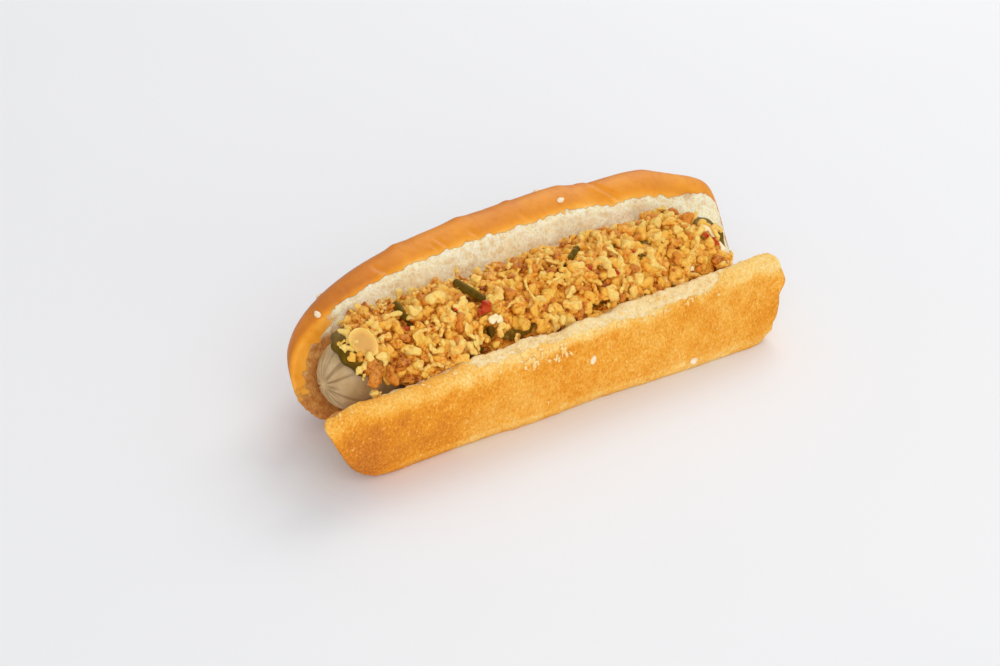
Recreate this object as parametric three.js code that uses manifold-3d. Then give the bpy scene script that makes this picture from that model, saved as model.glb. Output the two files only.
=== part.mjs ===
// A filled hot dog lying open on its hinge: a soft bun, a sausage, pickle slices and fried onions
// X runs along the bun, the low front flap is at -Y, the tall back half leans towards +Y
import * as THREE from 'three';
import { mergeVertices } from 'three/addons/utils/BufferGeometryUtils.js';
import Module from 'manifold-3d';

const wasm = await Module();
wasm.setup();

// Sausage
const SAUSAGE_RADIUS = 12.5;
const SAUSAGE_LEFT = -86.4;
const SAUSAGE_RIGHT = 80;
const SAUSAGE_Y = 7;
const SAUSAGE_Z = 25.1;
const PUCKER_DEPTH = 1.4;

// Back half of the bun: a cut face that leans back from its foot, with a domed crust behind it
const LEAN = THREE.MathUtils.degToRad(28);
const FOOT_Y = 8.1;
const FOOT_Z = 6.7;
const CRUMB_HALF_LENGTH = 91.6;
const CRUMB_TOP = 41;
const CRUMB_BOTTOM = -9;
const CRUST_OVERHANG = 11;
const WIDEST_DEPTH = 9;
const DOME_DEPTH = 29.5;
const DOME_POLE = 23;
const DOME_POWER = 2.3;
const DOME_END_SHARE = 0.25;
const BACK_DEPTHS = [0, 0.8, 2, 4, 6.5, 9, 13, 17, 20.5, 23.5, 26, 28, 29.1];
const BACK_ROUNDING = 11;
const BACK_ROUNDING_FROM = 0.55;
const BACK_STEPS = 64;
const LEFT_END = { overhang: 1.2, taper: 0.85, crumbPower: 2.5, crustPower: 2.1 };
const RIGHT_END = { overhang: 7.8, taper: 0, crumbPower: 3.4, crustPower: 7 };
const CREST_DIPS = [
  { depth: 2.6, from: [28, 52] },
  { depth: 6, from: [62, 96] },
];

// Front flap and hinge: ends, and a section given as stations from the outer face to the back
const FLAP_TOP = 29.3;
const FLAP_LEFT_TOP = -104.5;
const FLAP_LEFT_FOOT = -89;
const FLAP_LEFT_POWER = 0.8;
const FLAP_RIGHT = 87.6;
const FLAP_RISE = 0.012;
const FLAP_CORNERS = [16, 16, 2.5, 3.5];
const FLAP_SIDE_POINTS = [10, 3, 18, 3];
const FOOT_SWELL = 3.6;
const FOOT_SWELL_DEPTHS = [-8, -16];
const FOOT_SWELL_HEIGHT = 13;
const FOOT_SWELL_FROM = [0, 75];
const FOOT_TUCK = 2.8;
const FOOT_TUCK_FROM = [-6, -52];
const FLAP_STATIONS = [
  { y: -20.2, top: 24.5, bottom: 4.4, inset: 2.6 },
  { y: -19.5, top: 26.8, bottom: 2.2, inset: 0.9 },
  { y: -18.4, top: 28.3, bottom: 0.4, inset: 0.3 },
  { y: -16.6, top: 29.4, bottom: -0.8, inset: 1.4 },
  { y: -14.3, top: 29.3, bottom: -1.5, inset: 3.2 },
  { y: -9.6, top: 25.3, bottom: -1.5, inset: 7.2 },
  { y: -4.8, top: 20.8, bottom: -1.5, inset: 10 },
  { y: -1, top: 16, bottom: -1.5, inset: 10.6 },
  { y: 4, top: 13.6, bottom: -1.5, inset: 17 },
  { y: 9, top: 12.6, bottom: -1.5, inset: 17 },
  { y: 14, top: 8, bottom: -1.5, inset: 18 },
];

// Sesame seeds, on the dome by a turn round its outline and a depth, and on the front flap
const SEED = { length: 3.3, width: 2.3, height: 1.1 };
const DOME_SEEDS = [
  { share: 0.398, depth: 2.4, turn: 80 },
  { share: 0.243, depth: 3, turn: 12 },
  { share: 0.396, depth: 11, turn: 20 },
  { share: 0.2485, depth: 9.8, turn: 40 },
];
const FLAP_SEED_Y = -20.2;
const FLAP_SEEDS = [
  { x: 2, z: 17.3, turn: 60 },
  { x: 45.4, z: 3.3, turn: 8 },
];

// Pickle slices: those wrapped over the sausage, then those that stand tilted in the onions
const SLICE_THICKNESS = 2.4;
const SLICE_WAVES = 11;
const SLICE_WAVE_HEIGHT = 0.35;
const SLICE_RINGS = [[0.5, -1], [1, -0.8], [1, 0.8], [0.5, 1]];
const WRAPPED_SLICES = [
  { x: -73, around: 24, radius: 11.8, bend: 15 },
  { x: -43.5, around: 56, radius: 11.4, bend: 16 },
  { x: -18.5, around: 58, radius: 12.4, bend: 16 },
  { x: 17, around: 54, radius: 11.4, bend: 17 },
  { x: 39.4, around: 4, radius: 11.6, bend: 19 },
  { x: 62, around: 40, radius: 11.8, bend: 15 },
];
const STANDING_SLICES = [
  { x: -54, y: 7.4, z: 39.2, radius: 5.6, axis: [0.788, -0.227, 0.574] },
  { x: -27.4, y: 7.1, z: 39.6, radius: 7, axis: [0.658, 0.001, 0.756] },
  { x: 12.6, y: 6.6, z: 39.4, radius: 5.8, axis: [-0.488, 0.72, 0.49] },
];

// Fried onions: a shell over the sausage with flakes fused on its outer side
const HEAP_LEFT = -81;
const HEAP_RIGHT = 73.5;
const HEAP_LEFT_ANGLE = 115;
const HEAP_LEFT_SLANT = 12;
const HEAP_RIGHT_SLANT = 5;
const HEAP_NEAR_ANGLE = 176;
const HEAP_FAR_ANGLE = 14;
const HEAP_RADIUS = 17.6;
const HEAP_SIDE_GAIN = 2.6;
const HEAP_SINK = 1.2;
const HEAP_INNER_HALF = 6;
const HEAP_STATIONS = 10;
const HEAP_STEPS = 7;
const FLAKE_COUNT = 97;
const FLAKE_LENGTH = [4.6, 8];
const FLAKE_WIDTH = [3, 5];
const FLAKE_HEIGHT = [2, 3.2];
const FLAKE_UNEVEN = [0.7, 1.25];
const FLAKE_SINK = 0.9;
const FLAKE_TILT = 0.6;
const FLAKE_SEED = 41;
const GOLDEN_STEP = 0.61803;

// Clearance between neighbouring pieces
const GAP = 0.35;

// Repeatable random numbers from 0 to 1
function randomSource(seed) {
  let state = seed;
  return () => {
    state = (state * 1664525 + 1013904223) % 4294967296;
    return state / 4294967296;
  };
}

function mix(from, to, share) {
  return from + (to - from) * share;
}

// A closed triangle mesh as a solid, whichever way its faces point
function solid(geometry) {
  const plain = geometry.clone();
  plain.deleteAttribute('normal');
  plain.deleteAttribute('uv');
  const merged = mergeVertices(plain, 1e-4);
  const index = merged.index.array;
  const faces = [];
  for (let i = 0; i < index.length; i += 3) {
    const [a, b, c] = index.slice(i, i + 3);
    if (a !== b && b !== c && a !== c) faces.push([a, b, c]);
  }
  const build = (list) => new wasm.Manifold(new wasm.Mesh({
    numProp: 3,
    vertProperties: new Float32Array(merged.attributes.position.array),
    triVerts: new Uint32Array(list.flat()),
  }));
  const body = build(faces);
  return body.volume() > 0 ? body : build(faces.map(([a, b, c]) => [a, c, b]));
}

// A closed body from rings of points with the same count, capped at both ends
function stack(rings) {
  const count = rings[0].length;
  const points = rings.flat();
  const faces = [];
  for (let r = 0; r + 1 < rings.length; r++) {
    for (let i = 0; i < count; i++) {
      const j = (i + 1) % count;
      const near = r * count;
      const far = near + count;
      faces.push(near + i, near + j, far + j, near + i, far + j, far + i);
    }
  }
  const cap = (ring, start, turn) => {
    const centre = ring.reduce((sum, p) => sum.add(p), new THREE.Vector3()).divideScalar(count);
    const middle = points.push(centre) - 1;
    for (let i = 0; i < count; i++) {
      const edge = [start + i, start + (i + 1) % count];
      faces.push(middle, edge[turn], edge[1 - turn]);
    }
  };
  cap(rings[0], 0, 1);
  cap(rings[rings.length - 1], (rings.length - 1) * count, 0);
  const geometry = new THREE.BufferGeometry().setFromPoints(points);
  geometry.setIndex(faces);
  return solid(geometry);
}

// From the leaning cut face (along, up the slope, depth behind it) to the part's frame
function fromSlope(along, up, depth) {
  const y = FOOT_Y + up * Math.sin(LEAN) + depth * Math.cos(LEAN);
  const z = FOOT_Z + up * Math.cos(LEAN) - depth * Math.sin(LEAN);
  return new THREE.Vector3(along, y, z);
}

// How far the crust stands past the cut face's edge, as a share of its overhang
function overhangAt(depth) {
  return 1 - Math.max(0, 1 - depth / WIDEST_DEPTH) ** 2;
}

// How much the dome has drawn in behind its widest place
function domeAt(depth) {
  const share = Math.max(0, (depth - WIDEST_DEPTH) / (DOME_DEPTH - WIDEST_DEPTH));
  return (1 - share ** DOME_POWER) ** (1 / DOME_POWER);
}

// One outline of the back half at a depth behind its cut face: [along, up the slope] at a turn from 0 to 1
function backOutline(depth, share) {
  const draw = domeAt(depth);
  const past = overhangAt(depth);
  const top = mix(DOME_POLE, CRUMB_TOP + CRUST_OVERHANG * past, draw);
  const ground = (depth * Math.sin(LEAN) - FOOT_Z) / Math.cos(LEAN);
  const rounded = (depth / DOME_DEPTH - BACK_ROUNDING_FROM) / (1 - BACK_ROUNDING_FROM);
  const lift = BACK_ROUNDING * Math.max(0, rounded) ** 2;
  const bottom = Math.min(Math.max(CRUMB_BOTTOM, ground - 2) + lift, DOME_POLE - 2);
  const c = Math.cos(share * 2 * Math.PI);
  const s = Math.sin(share * 2 * Math.PI);
  const end = c < 0 ? LEFT_END : RIGHT_END;
  const power = mix(end.crumbPower, end.crustPower, past);
  const length = CRUMB_HALF_LENGTH + end.overhang * past - end.taper * depth;
  const along = mix(DOME_END_SHARE, 1, draw) * length * Math.sign(c) * Math.abs(c) ** (2 / power);
  const up = (top + bottom) / 2 + (top - bottom) / 2 * Math.sign(s) * Math.abs(s) ** (2 / power);
  const dip = CREST_DIPS.reduce((sum, d) => sum + d.depth * THREE.MathUtils.smoothstep(along, ...d.from), 0);
  return [along, up - dip * Math.max(0, up / top)];
}

function backRing(depth) {
  const ring = [];
  for (let i = 0; i < BACK_STEPS; i++) {
    const [along, up] = backOutline(depth, i / BACK_STEPS);
    ring.push(fromSlope(along, up, depth));
  }
  return ring;
}

function makeBackHalf() {
  return stack(BACK_DEPTHS.map(backRing));
}

// A four-sided outline with rounded corners, always with the same number of points
function roundedOutline(corners, radii, sideCounts) {
  const outline = [];
  corners.forEach((corner, i) => {
    const before = corners[(i + 3) % 4];
    const after = corners[(i + 1) % 4];
    const start = corner.clone().lerp(before, Math.min(0.55, radii[i] / corner.distanceTo(before)));
    const end = corner.clone().lerp(after, Math.min(0.55, radii[i] / corner.distanceTo(after)));
    const bend = new THREE.QuadraticBezierCurve(start, corner, end);
    outline.push(...bend.getPoints(4));
    const nextShare = Math.min(0.55, radii[(i + 1) % 4] / corner.distanceTo(after));
    const next = after.clone().lerp(corner, nextShare);
    for (let k = 1; k < sideCounts[i]; k++) outline.push(end.clone().lerp(next, k / sideCounts[i]));
  });
  return outline;
}

// How far the flap's foot stands forward of its face, to the right, or is tucked under, to the left
function footSwell(x, z) {
  const low = Math.max(0, 1 - Math.max(0, z) / FOOT_SWELL_HEIGHT);
  const forward = FOOT_SWELL * THREE.MathUtils.smoothstep(x, ...FOOT_SWELL_FROM);
  const under = FOOT_TUCK * (1 - THREE.MathUtils.smoothstep(x, FOOT_TUCK_FROM[1], FOOT_TUCK_FROM[0]));
  return low * (forward - under);
}

// One outline of the front flap and hinge at a distance from front to back
function flapRing({ y, top, bottom, inset }) {
  const share = (z) => (Math.max(0, z) / FLAP_TOP) ** FLAP_LEFT_POWER;
  const leftAt = (z) => mix(FLAP_LEFT_FOOT, FLAP_LEFT_TOP, share(z)) + inset;
  const rise = (x) => FLAP_RISE * (x + 20) * (top / FLAP_TOP);
  const right = FLAP_RIGHT - 0.5 * inset;
  const corners = [
    new THREE.Vector2(leftAt(bottom), bottom),
    new THREE.Vector2(right, bottom),
    new THREE.Vector2(right, top + rise(right)),
    new THREE.Vector2(leftAt(top), top + rise(leftAt(top))),
  ];
  const outline = roundedOutline(corners, FLAP_CORNERS, FLAP_SIDE_POINTS);
  const near = THREE.MathUtils.clamp(THREE.MathUtils.inverseLerp(...FOOT_SWELL_DEPTHS, y), 0, 1);
  return outline.map((p) => new THREE.Vector3(p.x, y - near * footSwell(p.x, p.y), p.y));
}

function makeFlap() {
  return stack(FLAP_STATIONS.map(flapRing));
}

// The sausage turned about X, drawn in to a pucker at both ends
function makeSausage(extra) {
  const radius = SAUSAGE_RADIUS + extra;
  const half = (SAUSAGE_RIGHT - SAUSAGE_LEFT) / 2 + extra;
  const profile = [new THREE.Vector2(0, -half + PUCKER_DEPTH)];
  const endSteps = 6;
  for (let i = 1; i <= endSteps; i++) {
    const turn = (i / endSteps) * Math.PI / 2;
    profile.push(new THREE.Vector2(radius * Math.sin(turn), -half + radius * (1 - Math.cos(turn))));
  }
  const mirrored = profile.map((p) => new THREE.Vector2(p.x, -p.y)).reverse();
  const geometry = new THREE.LatheGeometry([...profile, ...mirrored], 26);
  geometry.rotateZ(Math.PI / 2);
  geometry.translate((SAUSAGE_LEFT + SAUSAGE_RIGHT) / 2, SAUSAGE_Y, SAUSAGE_Z);
  return solid(geometry);
}

// A point on the wavy rim of a slice, as a share of the way out from its middle
function sliceRim(radius, share, turn) {
  const reach = (radius + SLICE_WAVE_HEIGHT * Math.cos(SLICE_WAVES * turn)) * share;
  return [reach * Math.cos(turn), reach * Math.sin(turn)];
}

// A slice as rings from its lower face, over its rim, to its upper face
function makeSlice(radius, extra, place) {
  const steps = 2 * SLICE_WAVES;
  const half = SLICE_THICKNESS / 2 + extra;
  const rings = [];
  for (const [share, level] of SLICE_RINGS) {
    const ring = [];
    for (let i = 0; i < steps; i++) {
      const [a, b] = sliceRim(radius + extra, share, (i / steps) * 2 * Math.PI);
      ring.push(place(a, b, half * level));
    }
    rings.push(ring);
  }
  return stack(rings);
}

// A slice bent over the sausage, centred a number of degrees from the top towards the front
function wrappedSlice({ x, around, radius, bend }, extra) {
  const lift = SAUSAGE_RADIUS + GAP + 0.1 + SLICE_THICKNESS / 2;
  const centre = THREE.MathUtils.degToRad(around);
  return makeSlice(radius, extra, (a, b, height) => {
    const turn = b / bend;
    const side = (bend + height) * Math.sin(turn);
    const up = lift - bend + (bend + height) * Math.cos(turn);
    const y = SAUSAGE_Y + side * Math.cos(centre) - up * Math.sin(centre);
    const z = SAUSAGE_Z + side * Math.sin(centre) + up * Math.cos(centre);
    return new THREE.Vector3(x + a, y, z);
  });
}

// A flat slice with its flat faces square to an axis
function standingSlice({ x, y, z, radius, axis }, extra) {
  const turn = new THREE.Quaternion()
    .setFromUnitVectors(new THREE.Vector3(0, 0, 1), new THREE.Vector3(...axis).normalize());
  const middle = new THREE.Vector3(x, y, z);
  const place = (a, b, height) => new THREE.Vector3(a, b, height).applyQuaternion(turn).add(middle);
  return makeSlice(radius, extra, place);
}

// The heap's surface around the sausage's axis, at an angle from +Y
function heapPoint(x, degrees, sink) {
  const angle = THREE.MathUtils.degToRad(degrees);
  const side = Math.abs(degrees - 90) / 90;
  const swell = 0.7 * Math.sin(x / 11) + 0.5 * Math.sin(x / 5.3 + degrees / 30);
  const reach = HEAP_RADIUS + HEAP_SIDE_GAIN * side ** 2 + swell - sink;
  return new THREE.Vector3(x, SAUSAGE_Y + reach * Math.cos(angle), SAUSAGE_Z + reach * Math.sin(angle));
}

// Where the heap starts and ends, drawn in towards its edges on the left and over its top on the right
function heapLeft(degrees) {
  const aside = Math.min(1, Math.abs(degrees - HEAP_LEFT_ANGLE) / (HEAP_NEAR_ANGLE - HEAP_LEFT_ANGLE));
  return HEAP_LEFT + HEAP_LEFT_SLANT * aside ** 4;
}

function heapRight(degrees) {
  return HEAP_RIGHT - HEAP_RIGHT_SLANT * (1 - THREE.MathUtils.smoothstep(degrees, 90, 130));
}

// The body of the heap, which the flakes stand on
function makeHeapCore() {
  const rings = [];
  for (let i = 0; i <= HEAP_STATIONS; i++) {
    const share = i / HEAP_STATIONS;
    const ring = [];
    for (let k = 0; k <= HEAP_STEPS; k++) {
      const degrees = mix(HEAP_FAR_ANGLE, HEAP_NEAR_ANGLE, k / HEAP_STEPS);
      ring.push(heapPoint(mix(heapLeft(degrees), heapRight(degrees), share), degrees, HEAP_SINK));
    }
    for (const degrees of [HEAP_NEAR_ANGLE, HEAP_FAR_ANGLE]) {
      const x = mix(heapLeft(degrees), heapRight(degrees), share);
      ring.push(new THREE.Vector3(x, SAUSAGE_Y + HEAP_INNER_HALF * Math.sign(90 - degrees), SAUSAGE_Z));
    }
    rings.push(ring);
  }
  return stack(rings);
}

// One crisp flake: a flattened lump with uneven corners
function makeFlake(random) {
  const geometry = new THREE.BoxGeometry(1, 1, 1);
  geometry.deleteAttribute('normal');
  geometry.deleteAttribute('uv');
  const lump = mergeVertices(geometry, 1e-4);
  const position = lump.attributes.position;
  const size = new THREE.Vector3(
    mix(...FLAKE_LENGTH, random()), mix(...FLAKE_WIDTH, random()), mix(...FLAKE_HEIGHT, random()));
  for (let i = 0; i < position.count; i++) {
    const corner = new THREE.Vector3().fromBufferAttribute(position, i).multiply(size);
    position.setXYZ(i, ...corner.multiplyScalar(mix(...FLAKE_UNEVEN, random())));
  }
  return lump;
}

// Flakes spread over the heap by an even step in area with a random share added
function makeFlakes() {
  const random = randomSource(FLAKE_SEED);
  const flakes = [];
  for (let i = 0; i < FLAKE_COUNT; i++) {
    const along = (i + random()) / FLAKE_COUNT;
    const across = (i * GOLDEN_STEP + 0.12 * random()) % 1;
    const degrees = mix(HEAP_FAR_ANGLE + 6, HEAP_NEAR_ANGLE - 8, across);
    const x = mix(heapLeft(degrees) - 1, heapRight(degrees) + 1, along);
    const point = heapPoint(x, degrees, FLAKE_SINK * random());
    const lump = makeFlake(random);
    lump.rotateZ(random() * Math.PI);
    lump.rotateY(mix(-FLAKE_TILT, FLAKE_TILT, random()));
    lump.rotateX(THREE.MathUtils.degToRad(degrees - 90) + mix(-FLAKE_TILT, FLAKE_TILT, random()));
    lump.translate(point.x, point.y, point.z);
    flakes.push(solid(lump));
  }
  return flakes;
}

// A sesame seed lying on the crust, long side turned in the surface
function makeSeed(point, normal, turn) {
  const geometry = new THREE.SphereGeometry(0.5, 9, 6);
  geometry.scale(SEED.length, SEED.width, SEED.height);
  geometry.rotateZ(THREE.MathUtils.degToRad(turn));
  geometry.applyQuaternion(new THREE.Quaternion().setFromUnitVectors(new THREE.Vector3(0, 0, 1), normal));
  geometry.translate(point.x, point.y, point.z);
  return solid(geometry);
}

// The crust point of the back half at a turn from 0 to 1 and a depth, with its normal
function crustPlace(share, depth) {
  const at = (turn, behind) => fromSlope(...backOutline(behind, turn), behind);
  const point = at(share, depth);
  const aside = at(share - 0.002, depth).sub(point);
  const behind = at(share, depth + 0.3).sub(point);
  return { point, normal: aside.cross(behind).normalize() };
}

function makeSeeds() {
  const onDome = DOME_SEEDS.map(({ share, depth, turn }) => {
    const { point, normal } = crustPlace(share, depth);
    return makeSeed(point, normal, turn);
  });
  const outward = new THREE.Vector3(0, -1, 0);
  const onFlap = FLAP_SEEDS.map(({ x, z, turn }) => {
    return makeSeed(new THREE.Vector3(x, FLAP_SEED_Y - footSwell(x, z), z), outward, turn);
  });
  return [...onDome, ...onFlap];
}

// Everything below the surface that the bun rests on
function makeGround() {
  const box = new THREE.BoxGeometry(300, 300, 40);
  box.translate(0, 0, -20);
  return solid(box);
}

// The bun moved to each side, which leaves a gap all round what it cuts
function bunWithGap(bun) {
  const shifts = [[0, 0, 0], [0, GAP, 0], [0, -GAP, 0], [0, 0, GAP]];
  return wasm.Manifold.union(shifts.map((shift) => bun.translate(shift)));
}

const sausage = makeSausage(0);
const sausageRoom = makeSausage(GAP);
const wrapped = WRAPPED_SLICES.map((slice) => wrappedSlice(slice, 0).subtract(sausageRoom));
const wrappedRoom = wasm.Manifold.union(WRAPPED_SLICES.map((slice) => wrappedSlice(slice, GAP)));
const taken = wrappedRoom.add(sausageRoom);
const standing = STANDING_SLICES.map((slice) => standingSlice(slice, 0).subtract(taken));
const standingRoom = wasm.Manifold.union(STANDING_SLICES.map((slice) => standingSlice(slice, GAP)));

const bunShape = wasm.Manifold.union([makeBackHalf(), makeFlap(), ...makeSeeds()]);
const bun = bunShape.subtract(makeGround()).subtract(sausageRoom).subtract(wrappedRoom);
const heap = wasm.Manifold.union([makeHeapCore(), ...makeFlakes()])
  .subtract(bunWithGap(bun)).subtract(sausageRoom).subtract(wrappedRoom).subtract(standingRoom);

// The largest connected piece of a solid, so that no loose crumb stays behind
function largest(body) {
  return body.decompose().sort((a, b) => b.volume() - a.volume())[0];
}

function meshFrom(name, body, colour, roughness) {
  const { vertProperties, triVerts } = body.getMesh();
  const geometry = new THREE.BufferGeometry();
  geometry.setAttribute('position', new THREE.BufferAttribute(new Float32Array(vertProperties), 3));
  geometry.setIndex(new THREE.BufferAttribute(new Uint32Array(triVerts), 1));
  geometry.computeVertexNormals();
  const material = new THREE.MeshStandardMaterial({ color: colour, roughness, metalness: 0 });
  const mesh = new THREE.Mesh(geometry, material);
  mesh.name = name;
  return mesh;
}

const hotDog = new THREE.Group();
hotDog.add(meshFrom('bun', largest(bun), 0xd9932f, 0.55));
hotDog.add(meshFrom('sausage', sausage, 0xc8b08a, 0.5));
wrapped.forEach((slice, i) => {
  hotDog.add(meshFrom(`pickle_wrapped_${i + 1}`, largest(slice), 0x6f7a2c, 0.35));
});
standing.forEach((slice, i) => {
  hotDog.add(meshFrom(`pickle_standing_${i + 1}`, largest(slice), 0x4e5a20, 0.35));
});
hotDog.add(meshFrom('fried_onions', largest(heap), 0xd8a441, 0.7));

// The origin is under the middle of the part, on the surface that it rests on
const box = new THREE.Box3().setFromObject(hotDog);
hotDog.position.set(-(box.min.x + box.max.x) / 2, -(box.min.y + box.max.y) / 2, -box.min.z);

export default hotDog;
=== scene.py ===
import itertools
import math

import bpy
import numpy as np
from mathutils import Matrix, Vector
from mathutils.bvhtree import BVHTree


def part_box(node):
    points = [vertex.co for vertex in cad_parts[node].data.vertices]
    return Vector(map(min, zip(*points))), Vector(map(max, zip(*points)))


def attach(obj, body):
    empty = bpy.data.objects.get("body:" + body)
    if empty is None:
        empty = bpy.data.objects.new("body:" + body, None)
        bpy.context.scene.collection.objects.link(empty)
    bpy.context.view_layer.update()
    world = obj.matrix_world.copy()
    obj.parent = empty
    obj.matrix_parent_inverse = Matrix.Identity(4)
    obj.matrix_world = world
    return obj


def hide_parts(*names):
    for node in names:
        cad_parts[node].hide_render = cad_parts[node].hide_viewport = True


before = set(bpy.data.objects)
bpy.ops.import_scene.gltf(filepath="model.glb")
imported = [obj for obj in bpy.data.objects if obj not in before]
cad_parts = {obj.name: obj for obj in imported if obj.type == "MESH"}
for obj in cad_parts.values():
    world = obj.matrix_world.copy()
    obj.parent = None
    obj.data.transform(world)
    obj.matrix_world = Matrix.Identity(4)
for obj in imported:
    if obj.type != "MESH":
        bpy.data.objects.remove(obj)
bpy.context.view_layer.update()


# The bun: one soft roll of wheat dough, glazed and baked to a thin golden crust round a white open crumb.
# It is cut along its length and lies open on its hinge, a low front flap and a tall half that leans back.
# The two halves are closed shells melted into one skin, which is then dented, torn and wrinkled by rule.

MM = 0.001
SAUSAGE_RADIUS = 12.5
SAUSAGE_LEFT = -86.4
SAUSAGE_RIGHT = 80
SAUSAGE_Y = 7
SAUSAGE_Z = 25.1
SAUSAGE_CLEARANCE = 0.6

LEAN = math.radians(28)
FOOT_Y = 8.1
FOOT_Z = 6.7
CRUMB_HALF_LENGTH = 91.6
CRUMB_TOP = 41
CRUMB_BOTTOM = -9
CRUMB_MIDDLE = (CRUMB_TOP + CRUMB_BOTTOM) / 2
CRUMB_HALF_HEIGHT = (CRUMB_TOP - CRUMB_BOTTOM) / 2
CRUST_OVERHANG = 11
WIDEST_DEPTH = 9
DOME_DEPTH = 29.5
DOME_LAST_RING = 29.3
DOME_POLE = 23
DOME_POWER = 2.3
DOME_END_SHARE = 0.25
BACK_ROUNDING = 11
BACK_ROUNDING_FROM = 0.55
LEFT_END = {"overhang": 1.2, "taper": 0.85, "crumb_power": 2.5, "crust_power": 2.1}
RIGHT_END = {"overhang": 7.8, "taper": 0, "crumb_power": 3.4, "crust_power": 7}
CREST_DIPS = [(2.6, 28, 52), (6, 62, 96)]  # depth, and where it starts and is full

FLAP_TOP = 29.3
FLAP_LEFT_TOP = -104.5
FLAP_LEFT_FOOT = -89
FLAP_LEFT_POWER = 0.8
FLAP_RIGHT = 87.6
FLAP_FACE_Y = -20.2
FLAP_RISE = 0.012
FLAP_RISE_FROM = -20
LIP_HEIGHT = 24.5
FLAP_CORNERS = (16, 16, 2.5, 3.5)
FOOT_SWELL = 3.6
FOOT_SWELL_HEIGHT = 13
FOOT_SWELL_TO = 75
FOOT_TUCK = 2.8
FOOT_TUCK_FROM = (-6, -52)
FLAP_STATIONS = [  # y, top, bottom, inset
    (FLAP_FACE_Y, LIP_HEIGHT, 4.4, 2.6),
    (-19.5, 26.8, 2.2, 0.9),
    (-18.4, 28.3, 0.4, 0.3),
    (-16.6, 29.4, -0.8, 1.4),
    (-14.3, 29.3, -1.5, 3.2),
    (-9.6, 25.3, -1.5, 7.2),
    (-4.8, 20.8, -1.5, 10),
    (-1, 16, -1.5, 10.6),
    (4, 13.6, -1.5, 17),
    (9, 12.6, -1.5, 17),
    (14, 8, -1.5, 18),
]

SKIN_VOXEL = 0.75
CREASES = [  # from and to as (along, up the slope), depth and width of the groove, height of its shoulders
    ((-22.5, 48), (-19.5, 43), 0.42, 0.75, 0.2),
    ((-25.5, 47), (-24, 43.5), 0.34, 0.7, 0.18),
    ((-9, 47), (-5.5, 42), 0.42, 0.75, 0.18),
    ((-48.5, 45.5), (-45, 41), 0.45, 0.8, 0.22),
    ((46.5, 50), (54.5, 40.5), 1.0, 0.95, 0.5),
    ((43, 52), (48, 50.5), 0.6, 0.85, 0.35),
    ((12, 47), (14, 43.5), 0.3, 0.7, 0.14),
]
BLISTERS = [  # along, up the slope, depth, height, reach
    (-71, 43, 7, 0.8, 1.4),
    (12, 53, 9, 0.7, 1.8),
    (-36, 50.5, 9, 0.7, 2.4),
    (-33, 51.5, 11, 0.6, 1.8),
    (47.5, 53, 8, 0.7, 2.4),
    (34, 53, 9, 0.5, 3.5),
    (-9, 52.5, 9, 0.5, 3.0),
    (72, 48, 8, 0.4, 4.0),
]
TEAR_POCKETS = [  # along, up the slope, reach, depth
    (61, 33, 4.5, 2.4),
    (83, 35, 2.6, 1.4),
    (-85.5, 17, 5, 0.5),
    (30, 29, 6, 0.9),
    (-40, 34, 4, 0.7),
]
FLAP_END_FORMS = [(21, 3.4, 1.5), (15.4, 2.0, -0.5)]  # height, reach, how far out: a knob and a notch
FLAP_END_ALONG, FLAP_END_INWARD = (83, 87), (-6, -12)
FOLD_HEIGHT, FOLD_WIDTH, FOLD_DEPTH = 3.9, 0.7, 0.35

# Where the crust gives way to crumb, and where fat has soaked in, each from none to full
CRUST_RIM = 1.5
CORNER_RIM, CORNER_ALONG, CORNER_UP = 2.4, (74, 90), (42, 33)
CLOSED_ALONG, CLOSED_UP = (-62, -80), (2, 24)
LIP_WHOLE = 8.5
LIP_TEARS = [(3.6, (-52, -40), (66, 54)), (1.4, (14, 24), (62, 52))]  # how far in it starts, left, right
SOAKED_ALONG, SOAKED_UP, SOAKED_TO = (-74, -83), (27, 14), (92, 82)
STAINED_ALONG, STAINED_UP = (58, 78), (26, 36)

sausage_low, sausage_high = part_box("sausage")
model_centre = np.array(((SAUSAGE_LEFT + SAUSAGE_RIGHT) / 2, SAUSAGE_Y, SAUSAGE_Z))
SHIFT = np.array((sausage_low + sausage_high) / 2) / MM - model_centre


def between(start, end, share):
    return start + (end - start) * share


def fade(value, start, end):
    """0 before start and 1 after end, with soft shoulders. Start may be the larger one."""
    share = np.clip((np.asarray(value, float) - start) / (end - start), 0, 1)
    return share * share * (3 - 2 * share)


def hump(away):
    """1 where away is 0, and a smooth round fall to 0 a little past 1."""
    return np.exp(-(away**2))


def cell_number(cells, seed):
    """A repeatable random number from 0 to 1 for each whole-numbered cell of space."""
    x, y, z = (cells[..., i].astype(np.uint64) for i in range(3))
    mixed = x * np.uint64(73856093) ^ y * np.uint64(19349663) ^ z * np.uint64(83492791)
    mixed = (mixed ^ np.uint64(seed * 7919 + 13)) * np.uint64(2654435761)
    mixed = (mixed ^ (mixed >> np.uint64(15))) * np.uint64(2246822519)
    mixed ^= mixed >> np.uint64(13)
    return (mixed & np.uint64(0xFFFFFF)).astype(float) / 0xFFFFFF


def swell(points, size, seed):
    """Smooth random heights from -1 to 1, with one rise or dip to each size of space."""
    place = points / size
    base = np.floor(place).astype(np.int64)
    part = place - base
    part = part * part * (3 - 2 * part)
    height = np.zeros(len(points))
    for corner in itertools.product((0, 1), repeat=3):
        weight = np.prod(np.where(corner, part, 1 - part), axis=1)
        height += weight * cell_number(base + np.array(corner), seed)
    return 2 * height - 1


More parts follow.
